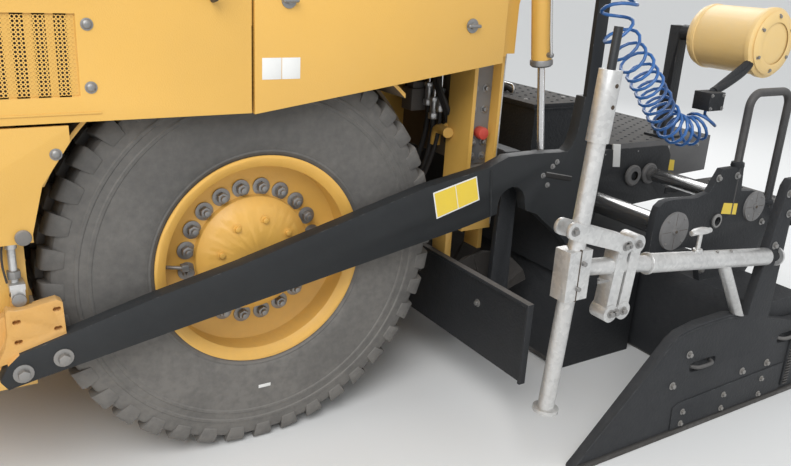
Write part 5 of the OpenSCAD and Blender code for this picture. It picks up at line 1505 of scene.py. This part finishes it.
for y0 in (seat_y, -seat_y):
    for k in range(9):
        z = 1712 + k * 26
        half_x, half_y = 158 - 5 * (k % 2), 158
        bellows.append(block("fold", at(seat_x - half_x, y0 - half_y, z), at(seat_x + half_x, y0 + half_y, z + 22),
                             wheel_black, 0.009, 3))
    bellows.append(block("swivel", at(-700, y0 - 180, 1650), at(-340, y0 + 180, 1668), deck_paint, 0.004))
    for y in (y0 - 155, y0 + 155):
        bellows.append(block("rail", at(-770, y - 15, 2020), at(-300, y + 15, 2042), bright_rod, 0.004))
    for way in (-1, 1):
        y = y0 + way * 262
        bellows.append(tube("arm_post", [at(-760, y - way * 34, 2240), at(-762, y, 2262), at(-760, y, 2300)], 0.011,
                            deck_paint, 0.01))
        bellows.append(block("armrest", at(-780, y - 26, 2296), at(-440, y + 26, 2332), wheel_black, 0.014, 4))
    for long, wide, low, high in ((0.50, 0.41, 0.0, 0.011), (0.24, 0.30, 0.008, 0.022)):
        cover = block("back_cover", (-long / 2, -wide / 2, low), (long / 2, wide / 2, high), wheel_black, 0.0075, 4)
        cover.data.transform(Matrix.Translation(at(-805, y0, 2340)) @ behind_shell)
        bellows.append(cover)
    bellows.append(rod("belt_reel", at(-700, y0 - 246, 2070), at(-700, y0 - 226, 2070), 0.028, wheel_black, 0.004, 24))
held(joined("seat_fittings", bellows), "machine")


# Seat cushions: moulded foam in black vinyl, crowned between stitched channels; they are swollen by a
# cloth simulation from a slightly smaller shape.
def vinyl():
    made, tree, shade, where = surface("seat_vinyl")
    base = blended(tree, noise(tree, where, 5.0, 4.0), (0.016, 0.016, 0.017), (0.034, 0.034, 0.035))
    film = placed(tree, road_dust, where, Amount=0.16, Low=2.4, Scale=6.0)
    wire(tree, blended(tree, film, base, (0.16, 0.15, 0.14)), shade.inputs["Base Color"])
    shade.inputs["Roughness"].default_value = 0.48
    grain = node_of(tree, "ShaderNodeTexVoronoi")
    grain.inputs["Scale"].default_value = 420.0
    wire(tree, where, grain.inputs["Vector"])
    embossed(tree, shade, grain.outputs["Distance"], 0.5, 0.0012)
    return made


seat_vinyl = vinyl()
swell_cap, crown_high, channel_half, channel_deep = 0.012, 0.006, 0.016, 0.011


def cushion(name, size, channels):
    """A pad lying on z = 0 with its length along x, swollen and then drawn in along its channels."""
    long, wide, thick = size
    half_x, half_y = long / 2 - swell_cap, wide / 2 - swell_cap
    piece = block(name, (-half_x, -half_y, 0.001), (half_x, half_y, thick - 0.014), seat_vinyl, 0.020, 4)
    alone(piece)
    mesh = piece.modifiers.new("fine", "REMESH")
    mesh.mode = "VOXEL"
    mesh.voxel_size = 0.006
    bpy.ops.object.modifier_apply(modifier="fine")
    start = [v.co.copy() for v in piece.data.vertices]
    swell = piece.modifiers.new("swell", "CLOTH")
    swell.settings.use_pressure = True
    swell.settings.uniform_pressure_force = 4
    swell.settings.effector_weights.gravity = 0
    scene = bpy.context.scene
    for frame_now in range(1, 21):
        scene.frame_set(frame_now)
    after = piece.evaluated_get(bpy.context.evaluated_depsgraph_get()).data
    shift = [v.co - a for v, a in zip(after.vertices, start)]
    piece.modifiers.remove(swell)
    scene.frame_set(1)
    for v, a, move in zip(piece.data.vertices, start, shift):
        far = move.length
        v.co = a + move * (min(1.0, swell_cap / far) if far > 0 else 0.0)
        v.co.z = max(v.co.z, 0.0)
    for v in piece.data.vertices:
        if v.co.z > thick * 0.45:
            crown = (1 - (2 * v.co.x / long) ** 2) * (1 - (2 * v.co.y / wide) ** 2)
            v.co.z += crown_high * max(0.0, crown)
            rise_of = (v.co.z - thick * 0.45) / (thick * 0.55)
            for kind, place, low, high in channels:
                far = abs((v.co.x if kind == "x" else v.co.y) - place)
                inside = low < (v.co.y if kind == "x" else v.co.x) < high
                if inside and far < channel_half:
                    v.co.z -= channel_deep * rise_of * math.cos(far / channel_half * math.pi / 2) ** 2
    for v in piece.data.vertices:
        v.co.x = max(-long / 2, min(long / 2, v.co.x))
        v.co.y = max(-wide / 2, min(wide / 2, v.co.y))
    return done(piece, name, seat_vinyl, 60)


def piping(pad, size, z):
    """A sewn edge cord that runs round a pad at height z, held to the pad's own surface."""
    r = 0.04
    long, wide = size[0] / 2 - 0.008 - r, size[1] / 2 - 0.008 - r
    ring = []
    for cx, cy, first in ((long, wide, 0), (-long, wide, 90), (-long, -wide, 180), (long, -wide, 270)):
        for degrees in range(first, first + 91, 18):
            a = math.radians(degrees)
            _, place, normal, _ = pad.closest_point_on_mesh(Vector((cx + r * math.cos(a), cy + r * math.sin(a), z)))
            ring.append(place + normal * 0.0012)
    ring.append(ring[0])
    return tube("piping", ring, 0.0028, seat_vinyl, 0.012)


bottom_size, back_size = (0.435, 0.460, 0.0895), (0.484, 0.440, 0.076)
bottom = cushion("seat_bottom", bottom_size, (("y", 0.115, -0.15, 0.16), ("y", -0.115, -0.15, 0.16),
                                              ("x", -0.15, -0.2, 0.2), ("x", 0.06, -0.115, 0.115)))
bottom = joined("seat_bottom", [bottom, piping(bottom, bottom_size, 0.052)])
bottom.data.transform(Matrix.Translation(at(seat_x + 12.5, seat_y, 2060.4)))
back = cushion("seat_back", back_size, (("y", 0.110, -0.17, 0.19), ("y", -0.110, -0.17, 0.19),
                                        ("x", 0.06, -0.110, 0.110), ("x", -0.06, -0.110, 0.110)))
back = joined("seat_back", [back, piping(back, back_size, 0.044)])
lean = math.atan2(60, 480)
up_back = Vector((-math.sin(lean), 0, math.cos(lean)))
out_back = Vector((math.cos(lean), 0, math.sin(lean)))
back_frame = Matrix((up_back, out_back.cross(up_back), out_back)).transposed().to_4x4()
back.data.transform(Matrix.Translation(at(seat_x - 257.0, seat_y, 2400)) @ back_frame)
for piece in (bottom, back):
    for seat in both_sides(piece, "machine"):
        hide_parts("seat_pads")


# Small fittings that finish the other sides: rubber seals along the hopper's hinges, hose runs to the
# wings' cylinders, grab handles, latches on the hood and the screed's hoses.
seals = [block("hinge_seal", at(x0, 604, 640), at(x1, 654, 648), hose_rubber, 0.002)
         for x0, x1 in ((1512, 1530), (1708, 2072), (2248, 3052), (3228, 3246))]
both_sides(joined("hinge_seals", seals), "machine")
latches = []
for x in (430, 1080):
    latches.append(block("latch", at(x - 34, 1248, 1640), at(x + 34, 1256, 1660), wheel_black, 0.004, 3))
    latches.append(block("latch_lever", at(x - 12, 1254, 1634), at(x + 12, 1262, 1666), bolt_steel, 0.004, 3))
both_sides(joined("hood_latches", latches), "machine")
hood_edge = [(1249, 1655), (1246, 1668), (1182, 1848), (1064, 1978), (924, 2038), (700, 2041)]
hood_seam = tube("hood_seam", [at(470, y, z) for y, z in hood_edge + [(-y, z) for y, z in reversed(hood_edge)]],
                 0.0032, joint_and_shade_brown, 0.05)
held(hood_seam, "machine")
handle = tube("grab_handles", [at(180, y, z) for y, z in (
    (1256, 1500), (1290, 1510), (1300, 1540), (1300, 1580), (1290, 1608), (1256, 1618))], 0.009, rail_paint, 0.01)
both_sides(handle, "machine")
runs = [tube("screed_hose", [at(x, y + aside, z) for x, y, z in (
    (-905, 420, 980), (-960, 430, 985), (-1080, 470, 1010), (-1220, 520, 1060), (-1330, 570, 1118),
    (-1400, 600, 1120), (-1440, 610, 1096))], 0.011, hose_rubber) for aside in (0, 40)]
hoses = joined("screed_hoses", runs)
twin = copied(hoses, "screed_hoses_right", mirror_y)
hoses.name = "screed_hoses_left"
for hose in (hoses, twin):
    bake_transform(hose)
wing_hose = tube("wing_hoses", [at(1640, 560, 470), at(1650, 600, 420), at(1672, 650, 388), at(1690, 690, 392)],
                 0.008, hose_rubber)
both_sides(wing_hose, "machine")


for piece in (big_bolt, small_bolt, button):
    bpy.data.objects.remove(piece)
